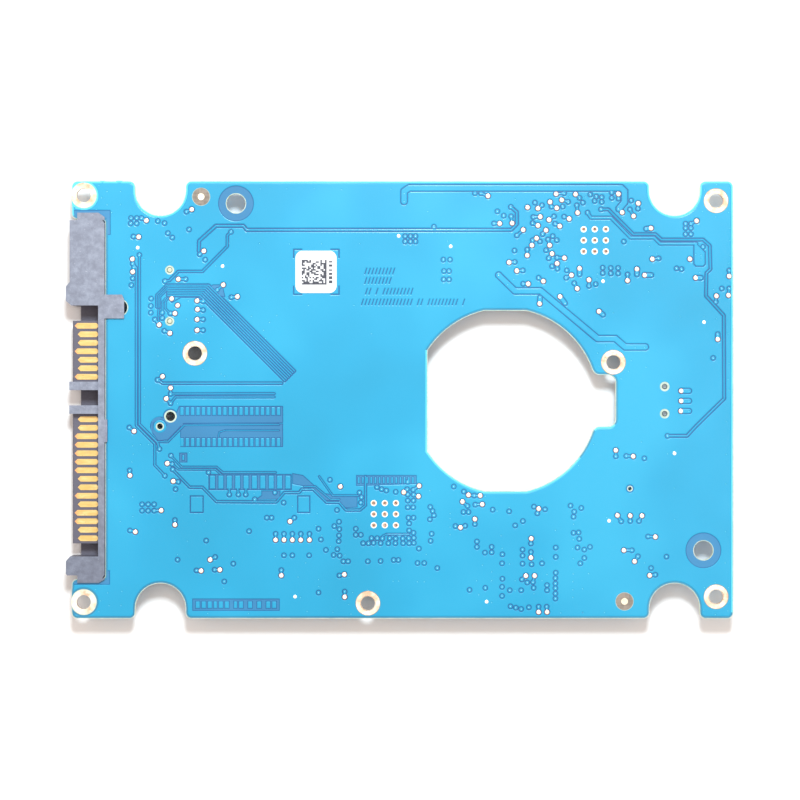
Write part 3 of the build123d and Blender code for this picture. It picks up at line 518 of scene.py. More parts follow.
# Stitching vias: a plain dimple in the copper
STITCHES = [
    (-44.8, 31.9), (-43.6, 31.0), (-41.6, 31.0), (-44.4, 30.05), (-43.6, 29.0), (-41.6, 29.0),
    (-45.2, 28.35), (-42.9, 27.85), (-39.7, 22.2), (-38.1, 20.9), (-27.4, 19.9),
    (-25.4, 23.3), (-36.5, 20.5), (-20.75, 31.4), (-16.8, 31.4), (-12.75, 31.4), (-8.7, 31.3),
    (-1.3, 31.35), (-20.9, 23.25), (-16.4, 23.2), (-11.65, 23.2), (-5.95, 23.2),
    (4.2, 28.0), (17.2, 29.8), (7.15, 23.6), (17.0, 17.9), (16.1, 17.1), (24.7, 19.8),
    (0.65, 29.5), (0.65, 30.7), (35.1, 7.7), (36.5, 7.7), (35.05, 32.0), (45.4, 31.2),
    (47.2, 32.0), (49.1, 31.5), (36.4, 28.3), (33.2, 27.0), (45.1, 28.0), (49.0, 27.9),
    (47.1, 27.2), (49.2, 25.5), (49.2, 23.7), (49.2, 21.4), (37.2, 22.8), (38.3, 21.7),
    (33.5, 19.3), (29.5, 18.7), (29.4, 18.0), (46.7, 16.4), (37.1, 16.1), (25.3, 30.2),
    (27.7, 30.2), (26.8, 15.5), (44.1, 21.6), (44.9, 21.5), (44.9, 20.8), (49.0, 20.2),
    (44.7, 18.9), (-31.5, 14.7), (-31.8, 12.0), (-27.9, 12.4), (-40.4, 7.2), (-36.0, 6.5),
    (-34.2, 6.0), (-33.6, 8.4), (-32.5, 8.5), (-28.5, 8.5), (-26.6, 7.6), (-28.1, 6.1),
    (-29.3, 4.5), (-26.6, 3.8), (-26.1, 3.5), (-36.0, 4.2), (-38.05, 1.7), (-38.05, 0.4),
    (-38.05, -0.8), (-40.3, 3.5), (-33.1, -0.6), (-13.6, 14.0), (-6.8, 14.0), (-22.1, 12.4),
    (-18.3, 12.5), (-19.4, 11.5), (-20.3, 10.3), (-4.2, 9.8), (-20, 9.1), (31.8, 12.9),
    (41.8, 12.3), (45.35, 12.3), (47.2, 12.0), (48.9, 9.8), (49.05, 5.4), (48.9, 3.0),
    (49.05, 1.4), (48.7, -3.3), (30.7, 8.0), (29.5, 6.9), (29.7, 5.0), (34.5, 5.8),
    (36.7, 4.8), (34.1, 4.2), (33.0, 3.1), (-39.8, -6.9), (-38.6, -6.7), (-37.4, -6.7),
    (-39.7, -8.15), (-39.9, -9.3), (-43.3, -11.9), (-32.4, -14.2), (-39.75, -14.5),
    (-39.75, -17.4), (-31.3, -7.9), (-29.3, -7.9), (-26.1, -7.9), (-21.7, -14.0),
    (-42.7, -13.6), (-16.0, -15.9), (-12.3, -17.0), (4.5, -13.6), (-6.5, -17.9),
    (-14.4, -14.1), (-41.65, -18.2), (-28.95, -18.1), (-31.6, -21.1), (-33.1, -23.1),
    (-24.9, -23.55), (-26.2, -28.15), (-45.3, -28.3), (-43.5, -28.8), (-41.4, -28.6),
    (-44.6, -30.0), (-43.3, -30.7), (-41.5, -30.7), (-44.8, -31.6), (-28.6, -31.9),
    (-22.55, -31.9), (-12.5, -18.75), (-11.6, -20.3), (-10.35, -21.9), (-8.15, -23.15),
    (-18.55, -23.4), (-14.0, -24.35), (-15.15, -26.45), (-12.1, -26.8), (-12.05, -27.85),
    (-7.55, -26.5), (-7.0, -28.75), (-14.8, -29.5), (-7.6, -30.55), (-13.8, -31.6),
    (-9.95, -31.7), (-7.25, -31.95), (-1.0, -27.1), (-0.15, -27.05), (2.65, -27.15),
    (3.65, -27.15), (7.5, -17.0), (7.5, -17.75), (7.5, -19.0), (7.5, -20.15), (15.1, -20.3),
    (16.3, -16.1), (14.5, -16.6), (15.25, -22.2), (16.35, -24.5), (21.2, -23.75),
    (23.2, -19.5), (25.9, -18.6), (25.85, -20.9), (25.75, -22.25), (25.85, -23.7),
    (25.85, -26.0), (25.8, -27.15), (25.8, -28.35), (25.8, -29.5), (21.95, -26.1),
    (21.2, -27.0), (17.2, -27.0), (17.2, -28.5), (20.0, -28.95), (13.7, -25.7),
    (13.7, -27.0), (11.45, -27.0), (3.95, -23.1), (11.8, -29.1), (13.7, -30.25),
    (24.0, -31.8), (27.2, -31.75), (12.3, -24.7), (12.75, -14.4), (36.0, -6.35),
    (28.9, -6.7), (26.65, -9.85), (39.9, -8.1), (48.65, -8.2), (48.6, -12.6), (40.9, -13.2),
    (40.95, -17.85), (30.85, -17.6), (48.55, -19.7), (48.5, -24.35), (36.5, -24.35),
    (28.15, -25.95), (47.0, -27.3), (45.4, -28.0), (48.95, -28.0), (45.3, -31.4),
    (48.9, -31.5), (47.05, -32.05), (30.5, -31.75), (27.3, -31.75), (27.25, -28.2),
]
# Traces set apart from the copper area: (width, gap, points)
TRACES = [
    (0.24, 0.19, [(-29.95, 22.1), (-29.9, 23.6), (-27.4, 25.85), (-23.3, 25.85),
                  (-22.8, 25.25), (16.6, 25.25), (17.45, 26.1), (17.45, 27.9),
                  (16.55, 28.65)]),
    (0.18, 0.16, [(-25.15, 24.95), (-25.7, 24.4), (-25.7, 22.8), (-29.4, 19.05),
                  (-33.0, 19.05), (-34.3, 17.7), (-35.0, 17.6)]),
    (0.85, 0.15, [(0.65, 29.5), (0.65, 31.0), (1.4, 31.5), (33.0, 31.5), (33.5, 31.0),
                  (33.5, 29.4), (32.7, 28.4)]),
    (0.80, 0.15, [(14.75, 18.5), (17.15, 16.15), (21.0, 16.15), (29.5, 9.05),
                  (32.15, 9.05), (33.6, 7.8), (36.6, 7.8)]),
    (0.22, 0.18, [(30.0, 28.3), (31.1, 28.3), (34.8, 24.6), (38.1, 24.6), (39.0, 23.8),
                  (45.2, 23.8), (46.2, 22.9), (46.3, 19.4), (45.7, 18.8), (45.65, 15.4),
                  (48.3, 12.5), (48.35, 0.1), (44.2, -3.95), (42.8, -5.45),
                  (39.9, -5.45)]),
    (0.34, 0.12, [(28.0, 27.8), (28.5, 27.05), (31.5, 27.05), (34.4, 24.1), (37.9, 24.1),
                  (38.8, 23.2), (44.2, 23.2)]),
    (0.20, 0.13, [(-38.8, 21.5), (-38.8, -3.7), (-36.1, -6.4), (-35.8, -7.4)]),
    (0.20, 0.13, [(-39.8, 20.2), (-39.25, 19.6), (-39.25, -3.9), (-36.5, -6.65),
                  (-36.5, -9.8), (-35.0, -11.4)]),
    (0.20, 0.16, [(-36.1, 2.9), (-35.3, 2.4), (-17.6, 2.4)]),
    (0.16, 0.14, [(-34.15, 0.8), (-18.7, 0.85)]),
    (0.16, 0.14, [(-34.15, -0.6), (-33.4, 0.35), (-18.7, 0.35)]),
    (0.14, 0.12, [(-34.1, -8.4), (-32.5, -10.1), (-27.3, -10.1), (-26.4, -10.9),
                  (-18.5, -10.9)]),
    (0.14, 0.12, [(-33.9, -9.65), (-33.0, -10.42), (-27.5, -10.42), (-26.6, -11.2)]),
    (0.18, 0.15, [(-33.85, -10.45), (-31.3, -13.1), (-29.4, -13.1), (-27.3, -15.25),
                  (-18.4, -15.3), (-17.2, -13.9), (-15.0, -13.9), (-14.6, -13.4),
                  (-12.9, -13.4), (-10.9, -15.35), (-9.0, -15.35), (-8.0, -16.5),
                  (-5.9, -16.5), (-5.1, -15.8), (-5.1, -11.5)]),
    (0.14, 0.12, [(-14.2, -13.0), (-12.6, -13.0), (-10.3, -14.9), (-9.0, -14.9)]),
    (0.14, 0.12, [(-12.0, -11.5), (-10.0, -14.35), (-6.2, -14.35)]),
    (0.16, 0.12, [(-2.55, -20.4), (-2.0, -20.1), (1.4, -20.1)]),
    (0.14, 0.14, [(-36.0, -6.3), (-34.6, -6.35), (-32.1, -3.85), (-18.0, -3.75)]),
    (0.12, 0.12, [(-27.0, -5.6), (-26.9, -4.9), (-26.0, -4.6), (-18.0, -4.6)]),
    (0.14, 0.12, [(-34.2, 12.8), (-34.9, 13.5), (-34.9, 14.6), (-34.5, 15.1)]),
    (0.14, 0.12, [(-35.4, 12.9), (-35.4, 14.4), (-34.9, 15.0)]),
    (0.14, 0.12, [(-35.85, 11.1), (-36.0, 12.3), (-35.9, 13.4)]),
    (0.20, 0.12, [(-25.4, -14.2), (-25.4, -13.3)]),
    (0.20, 0.12, [(-24.05, -14.2), (-24.15, -13.3)]),
    (0.20, 0.12, [(-22.95, -14.2), (-22.9, -13.3)]),
]
# Copper-free areas
CLEARINGS = [
    rectangle(-28.5, -16.1, -13.5, -11.15),
    [(-20.6, -13.6), (-17.8, -13.6), (-17.8, -14.9), (-21.6, -14.95), (-20.6, -14.3)],
    [(-16.0, -11.0), (-14.4, -11.3), (-11.4, -14.0), (-6.3, -14.5), (-6.3, -16.1),
     (-8.1, -16.2), (-9.2, -15.1), (-11.0, -15.1), (-13.4, -13.1), (-16.0, -12.6)],
    [(-36.9, -3.6), (-33.4, -2.2), (-32.9, -1.0), (-17.4, -1.0), (-17.4, -3.5), (-32.2, -3.6),
     (-34.5, -6.0), (-36.0, -6.2), (-36.9, -5.0)],
    rectangle(-32.7, -17.4, -3.6, -7.1),
    [(-28.8, 15.9), (-27.9, 17.1), (-26.4, 17.1), (-26.0, 15.2)],
    [(-6.5, -11.3), (2.5, -11.3), (2.5, -12.6), (-6.5, -12.9)],
    rectangle(-32.85, -31.65, -7.95, -9.4),
    rectangle(-30.9, -17.9, -29.7, -31.5),
    [(43.75, 23.65), (45.6, 22.0), (45.6, 20.1), (45.3, 19.75), (44.1, 19.75),
     (43.75, 20.1)],
    rectangle(-48.6, -43.1, 26.9, 28.2),
    rectangle(-43.8, -43.1, 24.5, 28.2),
    rectangle(-48.6, -43.2, -27.6, -26.8),
    rectangle(-43.8, -43.2, -27.6, -25.5),
]
# Copper left inside those areas
FILLS = [
    [(43.9, 23.5), (45.45, 21.9), (45.45, 20.2), (45.2, 19.9), (44.2, 19.9), (43.9, 20.2)],
    rectangle(-32.4, -32.1, -8.3, -9.05),
]


for x in spread(-32.45, 0.8, 19):                    # two rows of covered connector pads
    FILLS.append(rectangle(x - 0.25, x + 0.25, -2.35, -1.15))
    FILLS.append(rectangle(x - 0.25, x + 0.25, -7.0, -5.75))
for x in spread(-27.9, 1.25, 10):                    # a row of wider covered pads
    FILLS.append(rectangle(x - 0.38, x + 0.38, -13.3, -11.35))
for x in spread(-6.1, 0.62, 14):                     # fan-out fingers
    FILLS.append(rectangle(x - 0.12, x + 0.12, -12.5, -11.6))


# ================================================================ relief kit
def segments(points):
    return list(zip(points, points[1:]))


class Layer:
    """Copper pattern of one face: what is cleared, what stays, and where it dips."""

    def __init__(self):
        self.voids, self.islands = [], []            # capsules (ax, ay, bx, by, radius)
        self.void_areas, self.island_areas = [], []  # polygons
        self.dimples = []                            # (x, y, radius, depth)

    def ring(self, x, y, clear, copper):
        self.voids.append((x, y, x, y, clear))
        self.islands.append((x, y, x, y, copper))

    def trace(self, points, width, gap):
        for (ax, ay), (bx, by) in segments(points):
            self.voids.append((ax, ay, bx, by, width / 2 + gap))
            self.islands.append((ax, ay, bx, by, width / 2))

    def bundle(self, points, count, pitch, width):
        """Parallel traces spread evenly about a centre line."""
        for i in range(count):
            self.trace(shifted(points, (i - (count - 1) / 2) * pitch), width, pitch - width)

    def groove(self, points, width):
        for (ax, ay), (bx, by) in segments(points):
            self.voids.append((ax, ay, bx, by, width / 2))


def shifted(points, distance):
    """An open line moved sideways, its corners kept square to both runs."""
    p = np.array(points, float)
    d = np.diff(p, axis=0)
    d /= np.linalg.norm(d, axis=1)[:, None]
    n = np.stack([-d[:, 1], d[:, 0]], 1)
    before, after = np.vstack([n[:1], n]), np.vstack([n, n[-1:]])
    mitre = (before + after) / (1 + (before * after).sum(1))[:, None]
    return [tuple(q) for q in p + mitre * distance]


def shifted_loop(points, distance):
    """A closed line moved to its left, towards the material."""
    p = np.array(points, float)
    d = np.roll(p, -1, 0) - p
    d /= np.linalg.norm(d, axis=1)[:, None]
    after = np.stack([-d[:, 1], d[:, 0]], 1)
    before = np.roll(after, 1, 0)
    mitre = (before + after) / np.maximum(1 + (before * after).sum(1), 0.5)[:, None]
    return [tuple(q) for q in p + mitre * distance]


def counter_clockwise(points):
    p = np.array(points, float)
    q = np.roll(p, -1, 0)
    return points if (p[:, 0] * q[:, 1] - q[:, 0] * p[:, 1]).sum() > 0 else points[::-1]


def capsule_outline(ax, ay, bx, by, radius):
    length = math.hypot(bx - ax, by - ay)
    steps = 9 if radius > 0.12 else 6
    if length < 1e-6:
        count = max(10, min(40, int(22 * math.sqrt(radius / 0.42))))
        return [(ax + radius * math.cos(math.tau * i / count),
                 ay + radius * math.sin(math.tau * i / count)) for i in range(count)]
    start = math.atan2(by - ay, bx - ax) - math.pi / 2
    points = []
    for cx, cy, turn in ((bx, by, 0), (ax, ay, math.pi)):
        for i in range(steps):
            a = start + turn + math.pi * i / (steps - 1)
            points.append((cx + radius * math.cos(a), cy + radius * math.sin(a)))
    return points


def to_segment(points, ax, ay, bx, by):
    """Distance from each point to one segment."""
    q = points - (ax, ay)
    d = np.array((bx - ax, by - ay))
    t = np.clip(q @ d / max(d @ d, 1e-12), 0, 1)
    return np.hypot(q[:, 0] - t * d[0], q[:, 1] - t * d[1])


class Field:
    """Points sorted along X, for distances to many small shapes."""
    FAR = 9.0
    REACH = 0.4

    def __init__(self, points):
        self.order = np.argsort(points[:, 0], kind="stable")
        self.p = points[self.order]

    def window(self, x0, x1, y0, y1):
        a = np.searchsorted(self.p[:, 0], x0 - self.REACH)
        b = np.searchsorted(self.p[:, 0], x1 + self.REACH)
        y = self.p[a:b, 1]
        return a + np.nonzero((y > y0 - self.REACH) & (y < y1 + self.REACH))[0]

    def to_capsules(self, capsules):
        best = np.full(len(self.p), self.FAR)
        for ax, ay, bx, by, r in capsules:
            pick = self.window(min(ax, bx) - r, max(ax, bx) + r, min(ay, by) - r, max(ay, by) + r)
            gap = to_segment(self.p[pick], ax, ay, bx, by) - r
            best[pick] = np.minimum(best[pick], gap)
        return best

    def to_areas(self, areas):
        best = np.full(len(self.p), self.FAR)
        for area in areas:
            a = np.array(area, float)
            b = np.roll(a, -1, 0)
            pick = self.window(a[:, 0].min(), a[:, 0].max(), a[:, 1].min(), a[:, 1].max())
            q = self.p[pick]
            gap = np.full(len(pick), self.FAR)
            for (ax, ay), (bx, by) in zip(a, b):
                gap = np.minimum(gap, to_segment(q, ax, ay, bx, by))
            gap = np.where(inside(q, area), -gap, gap)
            best[pick] = np.minimum(best[pick], gap)
        return best

    def restore(self, values):
        out = np.empty_like(values)
        out[self.order] = values
        return out


def insets(lines, make, *distances):
    """Add one closed line for each distance."""
    lines += [(make(distance), True) for distance in distances]


def inside(points, loop):
    """Which points lie inside a closed line."""
    result = np.zeros(len(points), bool)
    x, y = points[:, 0], points[:, 1]
    a = np.array(loop, float)
    for (ax, ay), (bx, by) in zip(a, np.roll(a, -1, 0)):
        if ay == by:
            continue
        crosses = (ay > y) != (by > y)
        result ^= crosses & (x < (bx - ax) * (y - ay) / (by - ay) + ax)
    return result


GROOVE = 0.1                                         # how far a gap's dark edge reaches
RIM = 0.24                                           # copper kept back from the board's edges
SLOPE = 0.11                                         # plan width of a copper edge under mask
ON_TOP = 0.012                                       # how far in the copper's look begins
OUTLINE_POINTS = 60                                  # lines with more than this get a painted highlight or a painted shade along their rim
LIT = 0.2                                            # rim light above this is painted as highlight, at or below it as shade
VIA_CORE = 0.6                                       # share of a dimple that its core takes
GLINT_BELOW = 0.135                                  # smaller dimples get a painted glint in the core, larger ones the painted highlight
SLIVER = 1e-9                                        # triangles below this area are dropped


def copper_depth(points, layer, rim):
    """How far inside copper each point lies; negative where there is none."""
    field = Field(points)
    void = np.minimum(field.to_capsules(layer.voids + rim), field.to_areas(layer.void_areas))
    island = np.minimum(field.to_capsules(layer.islands), field.to_areas(layer.island_areas))
    return field.restore(np.maximum(void, -island))


def mask_loops(node, up):
    """Boundary lines of a flat CAD sheet, each with the material on its left."""
    mesh = NODES[node].data
    co = [(round(v.co.x / MM, 4), round(v.co.y / MM, 4)) for v in mesh.vertices]
    edges = set()
    for face in mesh.polygons:
        if face.normal.z * up > 0.9:
            ring = [co[i] for i in face.vertices]
            if up < 0:
                ring.reverse()
            edges.update(zip(ring, ring[1:] + ring[:1]))
    following = {a: b for a, b in sorted(edges) if (b, a) not in edges}
    loops = []
    while following:
        start = min(following)
        loop, at = [start], following.pop(start)
        while at != start:
            loop.append(at)
            at = following.pop(at)
        loops.append(loop)
    return sorted(loops, key=len)


PEG_HOLE = 0.42
OUTLINE_PULL = 0.09
HOLE_STYLES = (                                      # (radius below, mask pulled back, band)
    (0.35, 0.14, 0.18),                              # smallest probe hole
    (0.44, 0.195, 0.0),                              # middle probe hole
    (0.6, 0.0, 0.0),                                 # thermal vias
    (0.8, 0.23, 0.1),                                # large probe hole
    (1.22, 0.16, 0.0),                               # fiducials and the plug's lug
    (1.5, 0.10, 1.12),                               # large clearance holes
    (2.5, 0.0, 0.0),                                 # screw lands
)


def hole_style(loop):
    """(mask pulled back, copper kept back) for one boundary line."""
    p = np.array(loop)
    x = (p[:, 0].min() + p[:, 0].max()) / 2
    radius = (p[:, 0].max() - p[:, 0].min()) / 2
    if abs(radius - PEG_HOLE) < 0.002:
        return (0.3 if x > 0 else 0.26), 0.0
    for top, pull, band in HOLE_STYLES:
        if radius < top:
            return pull, band
    return OUTLINE_PULL, RIM


def painted_rim_light(x, y, dx, dy):
    """Above LIT where the mask's rim gets a painted highlight, at or below it a painted shade, for
    an edge that runs along (dx, dy).
    """
    if x < -43.4 and abs(y) < 27.3:
        return -1
    if abs(y) > 26.5:
        return y
    return (dy * 0.45 - dx * 0.89) / math.hypot(dx, dy)


def copper_lines(layer):
    """Mesh lines along every copper edge of a layer: (points, closed)."""
    lines = []
    for ax, ay, bx, by, r in layer.voids:
        insets(lines, lambda d: capsule_outline(ax, ay, bx, by, r + d), 0, SLOPE / 2, SLOPE)
    for ax, ay, bx, by, r in layer.islands:
        insets(lines, lambda d: capsule_outline(ax, ay, bx, by, r - d), 0)
        if r > SLOPE * 1.2:
            insets(lines, lambda d: capsule_outline(ax, ay, bx, by, r - d), SLOPE / 2, SLOPE)
        elif ax != bx or ay != by:
            lines.append(([(ax, ay), (bx, by)], False))
    for areas, sign in ((layer.void_areas, 1), (layer.island_areas, -1)):
        for area in areas:
            area = counter_clockwise(area)
            insets(lines, lambda d: shifted_loop(area, sign * d), GROOVE, 0, -SLOPE / 2, -SLOPE)
    for x, y, r, _ in layer.dimples:
        insets(lines, lambda d: capsule_outline(x, y, x, y, r * d), 1, VIA_CORE)
        lines.append(([(x, y)], False))
    return lines


def triangulate(lines):
    """Points and triangles of the plane, with every line as an edge."""
    verts, pairs = [], []
    for line, closed in lines:
        first = len(verts)
        verts += [Vector(q) for q in line]
        last = len(verts) - 1
        pairs += [(i, i + 1) for i in range(first, last)]
        if closed:
            pairs.append((last, first))
    co, _, faces, *_ = delaunay_2d_cdt(verts, pairs, [], 1, 1e-5)
    return np.array([(v.x, v.y) for v in co]), np.array([f for f in faces if len(f) == 3])


def on_board(points, edges):
    """Which points lie inside the outline, the last of the edges, and in no hole."""
    keep = inside(points, edges[-1])
    for loop in edges[:-1]:
        a = np.array(loop)
        near = ((points > a.min(0)) & (points < a.max(0))).all(1)
        keep[np.nonzero(near)[0][inside(points[near], loop)]] = False
    return keep


def mark_rim(look, middle, lit):
    """Give the faces beside the board's edges a painted highlight or a painted shade."""
    field = Field(middle)
    best, side = np.full(len(middle), Field.FAR), np.zeros(len(middle))
    for ax, ay, bx, by, painted_light in lit:
        pick = field.window(min(ax, bx), max(ax, bx), min(ay, by), max(ay, by))
        gap = to_segment(field.p[pick], ax, ay, bx, by)
        closer = gap < best[pick]
        best[pick[closer]] = gap[closer]
        side[pick[closer]] = painted_light
    best, side = field.restore(best), field.restore(side)
    # faces by an edge that faces the light get the painted highlight, the others the painted shade
    look[(best < RIM) & (side > LIT)] = PAINTED_HIGHLIGHT
    look[(best < RIM) & (side <= LIT)] = PAINTED_SHADE


def close_sheet(p, tris, height, edges, base):
    """All points of a closed sheet, and the faces of its walls and flat bottom."""
    half = np.concatenate([tris[:, [0, 1]], tris[:, [1, 2]], tris[:, [2, 0]]])
    known = set(map(tuple, half))
    border = sorted((a, b) for a, b in known if (b, a) not in known)
    rim_ids = sorted({a for a, _ in border})
    place = {v: i for i, v in enumerate(rim_ids)}
    first = len(p)                                   # where the bottom's points begin
    walls = [(first + place[a], first + place[b], b, a) for a, b in border]
    co, _, faces, origin, *_ = delaunay_2d_cdt(
        [Vector(p[v]) for v in rim_ids], [(place[a], place[b]) for a, b in border], [], 1, 1e-7)
    under = np.array([(v.x, v.y) for v in co])
    under_tris = np.array([f for f in faces if len(f) == 3])
    bottom = []
    for f in under_tris[on_board(under[under_tris].mean(1), edges)]:
        ids = [first + origin[i][0] for i in f]
        a, b, c = under[f]
        if np.cross(b - a, c - a) > 0:
            ids.reverse()
        bottom.append(tuple(ids))
    z = np.concatenate([height, np.full(len(rim_ids), base)])
    return np.column_stack([np.concatenate([p, p[rim_ids]]), z]), walls + bottom


def make_relief(name, node, layer, up, low, high, base):
    """A closed sheet of solder mask that follows the copper under it."""
    edges, rim, lit, lines = [], [], [], []
    for loop in mask_loops(node, up):
        pull, band = hole_style(loop)
        loop = shifted_loop(loop, pull) if pull else loop
        edges.append(loop)
        lines.append((loop, True))
        if band:
            for (ax, ay), (bx, by) in segments(loop + loop[:1]):
                rim.append((ax, ay, bx, by, band))
                if len(loop) > OUTLINE_POINTS:
                    lit.append((ax, ay, bx, by, painted_rim_light((ax + bx) / 2, (ay + by) / 2,
                                                     bx - ax, by - ay)))
            insets(lines, lambda d: shifted_loop(loop, band + d), -GROOVE, 0, SLOPE / 2, SLOPE)
    p, tris = triangulate(lines + copper_lines(layer))
    tris = tris[on_board(p[tris].mean(1), edges)]
    corner = p[tris]
    size = np.cross(corner[:, 1] - corner[:, 0], corner[:, 2] - corner[:, 0])
    tris, middle, size = (a[np.abs(size) > SLIVER] for a in (tris, corner.mean(1), size))
    tris[size < 0] = tris[size < 0][:, ::-1]

    t = np.clip(copper_depth(p, layer, rim) / SLOPE, 0, 1)
    height = low + (high - low) * t * (2 - t)
    for x, y, r, sink in layer.dimples:
        d = np.hypot(p[:, 0] - x, p[:, 1] - y) / r
        hit = d < 1
        height[hit] -= sink * (1 - d[hit] ** 2)

    depth = copper_depth(middle, layer, rim)
    look = np.where(depth > ON_TOP, ON_COPPER, np.where(depth > -GROOVE, IN_GROOVE, ON_LAMINATE))
    mark_rim(look, middle, lit)
    for x, y, r, _ in layer.dimples:
        away = np.hypot(middle[:, 0] - x, middle[:, 1] - y)
        look[away < r] = ON_VIA
        # painted highlight in each dimple's core: a painted glint in small dimples, the rim's
        # painted highlight in larger ones
        look[away < r * VIA_CORE] = VIA_GLINT if r < GLINT_BELOW else PAINTED_HIGHLIGHT

    used = np.unique(tris)
    number = np.full(len(p), -1)
    number[used] = np.arange(len(used))
    tris = number[tris]
    points, closing = close_sheet(p[used], tris, height[used], edges, base)
    faces = [tuple(f) for f in tris] + closing
    if up < 0:
        faces = [f[::-1] for f in faces]
    return mesh_object(name, points, faces, MASK_LOOKS,
                       list(look) + [ON_LAMINATE] * len(closing))


def place_object(name, data):
    made = bpy.data.objects.new(name, data)
    bpy.context.scene.collection.objects.link(made)
    return made


def mesh_object(name, points, faces, materials, looks=None, smooth=False):
    """A mesh piece from points in millimetres."""
    mesh = bpy.data.meshes.new(name)
    mesh.from_pydata([tuple(q) for q in np.array(points, float) * MM], [],
                     [tuple(int(i) for i in f) for f in faces])
    for material in materials:
        mesh.materials.append(material)
    if looks is not None:
        mesh.polygons.foreach_set("material_index", np.array(looks, np.int32))
    mesh.polygons.foreach_set("use_smooth", np.full(len(mesh.polygons), smooth))
    mesh.update()
    return place_object(name, mesh)


# ================================================================ the outer face
VIA_CLEAR, VIA_COPPER = 0.42, 0.28
PAD_CLEAR, PAD_COPPER = 0.47, 0.37
LINK_REACH, LINK_CLEAR, LINK_COPPER = 1.3, 0.27, 0.13    # from a test pad to its via
DIMPLE = 0.040
MOTOR_VIA_X, MOTOR_VIA_YS = 43.1, (1.25, -0.25, -1.75)
outer = Layer()
for x, y in VIAS:
    outer.ring(x, y, VIA_CLEAR, VIA_COPPER)
    outer.dimples.append((x, y, 0.13, DIMPLE))
for x, y in TEST_PADS:
    outer.ring(x, y, PAD_CLEAR, PAD_COPPER)
    reach, a, b = min((math.hypot(x - a, y - b), a, b) for a, b in VIAS)
    if (x, y) in PILL_PADS:
        outer.voids.append((x, y, a, b, VIA_CLEAR))
        outer.islands.append((x, y, a, b, VIA_COPPER))
    elif reach < LINK_REACH:
        outer.voids.append((x, y, a, b, LINK_CLEAR))
        outer.islands.append((x, y, a, b, LINK_COPPER))
for x, y in STITCHES:
    outer.dimples.append((x, y, 0.14, DIMPLE))
for width, gap, points in TRACES:
    outer.trace(points, width, gap)
outer.bundle([(-36.0, 13.7), (-36.0, 15.4), (-34.65, 16.75), (-34.5, 16.75)], 3, 0.26, 0.12)
for k in range(-3, 4):                               # seven lines that fan out on the slant
    y, shift = 16.23 + 0.26 * k, 0.24 * k
    outer.trace([(-34.6, y), (-12.9 + 2 * shift - y, y), (-16.4 + shift, 3.5 + shift)], 0.16, 0.18)
outer.void_areas += CLEARINGS
outer.island_areas += FILLS

for y in MOTOR_VIA_YS:                               # test pads by the motor connector
    outer.voids.append((42.0, y, MOTOR_VIA_X, y, 0.45))
    outer.islands.append((42.0, y, MOTOR_VIA_X, y, 0.33))
    outer.dimples.append((MOTOR_VIA_X, y, 0.15, DIMPLE))
for x, y, clear, copper in ((-35.74, -4.02, 1.45, 0.95), (-34.17, -2.53, 1.1, 0.5)):
    outer.ring(x, y, clear, copper)
for x0, x1 in ((-31.2, -29.3), (-15.2, -13.4)):      # outlined parts positions
    corners = rectangle(x0, x1, -16.85, -14.4)
    outer.groove(corners + corners[:1], 0.16)
for x in (-15.8, -9.05):                             # corner marks round the label
    for y in (22.35, 15.65):
        turn_x, turn_y = math.copysign(1.2, -12.4 - x), math.copysign(1.2, 19 - y)
        outer.groove([(x + turn_x, y), (x, y), (x, y + turn_y)], 0.18)
outer.groove([(-34.0, 14.4), (-32.6, 15.2), (-28.9, 15.2)], 0.14)

dice = random.Random(7)
# Plain slanted hatching where a maker puts text
for y, x0, x1 in ((19.1, -5.2, -0.4), (17.7, -5.2, -0.4), (16.1, -5.1, 2.5), (14.5, -5.7, 9.9)):
    for x in spread(x0, 0.52, int((x1 - x0) / 0.52)):
        if dice.random() < 0.85:
            outer.groove([(x, y - 0.42), (x + 0.28, y + 0.42)], 0.15)
x = -30.4
while x < -18.6:                                     # copper blocks in the marking panel
    width = dice.choice((0.45, 0.6, 0.6))
    outer.island_areas.append(rectangle(x, x + width, -31.1, -30.1))
    x += width + dice.choice((0.3, 0.3, 0.75))

outer_mask = make_relief("outer_mask", "outer_solder_mask", outer, 1,
                         OUTER_CORE + 0.005, OUTER + 0.018, OUTER_CORE + 0.0005)
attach(outer_mask, "board")
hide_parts("outer_solder_mask")


def turned_solids(name, places, profile, looks, materials, around=16):
    """Many copies of one small turned shape, joined in a piece; profile is (radius, z)."""
    points, faces, marks = [], [], []
    for x, y in places:
        first = len(points)
        for r, z in profile[:-1]:
            for i in range(around):
                a = math.tau * i / around
                points.append((x + r * math.cos(a), y + r * math.sin(a), z))
        points.append((x, y, profile[-1][1]))
        tip = len(points) - 1
        for level in range(len(profile) - 2):
            for i in range(around):
                a, b = first + level * around + i, first + level * around + (i + 1) % around
                faces.append((a, b, b + around, a + around))
                marks.append(looks[level])
        top = first + (len(profile) - 2) * around
        for i in range(around):
            faces.append((top + i, top + (i + 1) % around, tip))
            marks.append(looks[-1])
        faces.append(tuple(first + i for i in reversed(range(around))))
        marks.append(looks[0])
    return mesh_object(name, points, faces, materials, marks, smooth=True)


def raised(level, *profile):
    """A (radius, height) profile whose heights are measured from a level."""
    return [(r, level + z) for r, z in profile]


pad_profile = raised(OUTER, (0.38, 0.006), (0.38, 0.016), (0.31, 0.018), (0.28, 0.030),
                     (0.22, 0.048), (0.12, 0.060), (0, 0.064))
test_pads = turned_solids("test_pads", TEST_PADS, pad_profile, [1, 1, 0, 0, 0, 0],
                          [SOLDER, COPPER_RIM])
open_pads = turned_solids("open_pads", OPEN_PADS, [(r * 0.86, z) for r, z in pad_profile],
                          [0] * 6, [SOLDER])
for piece in (test_pads, open_pads):
    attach(piece, "board")


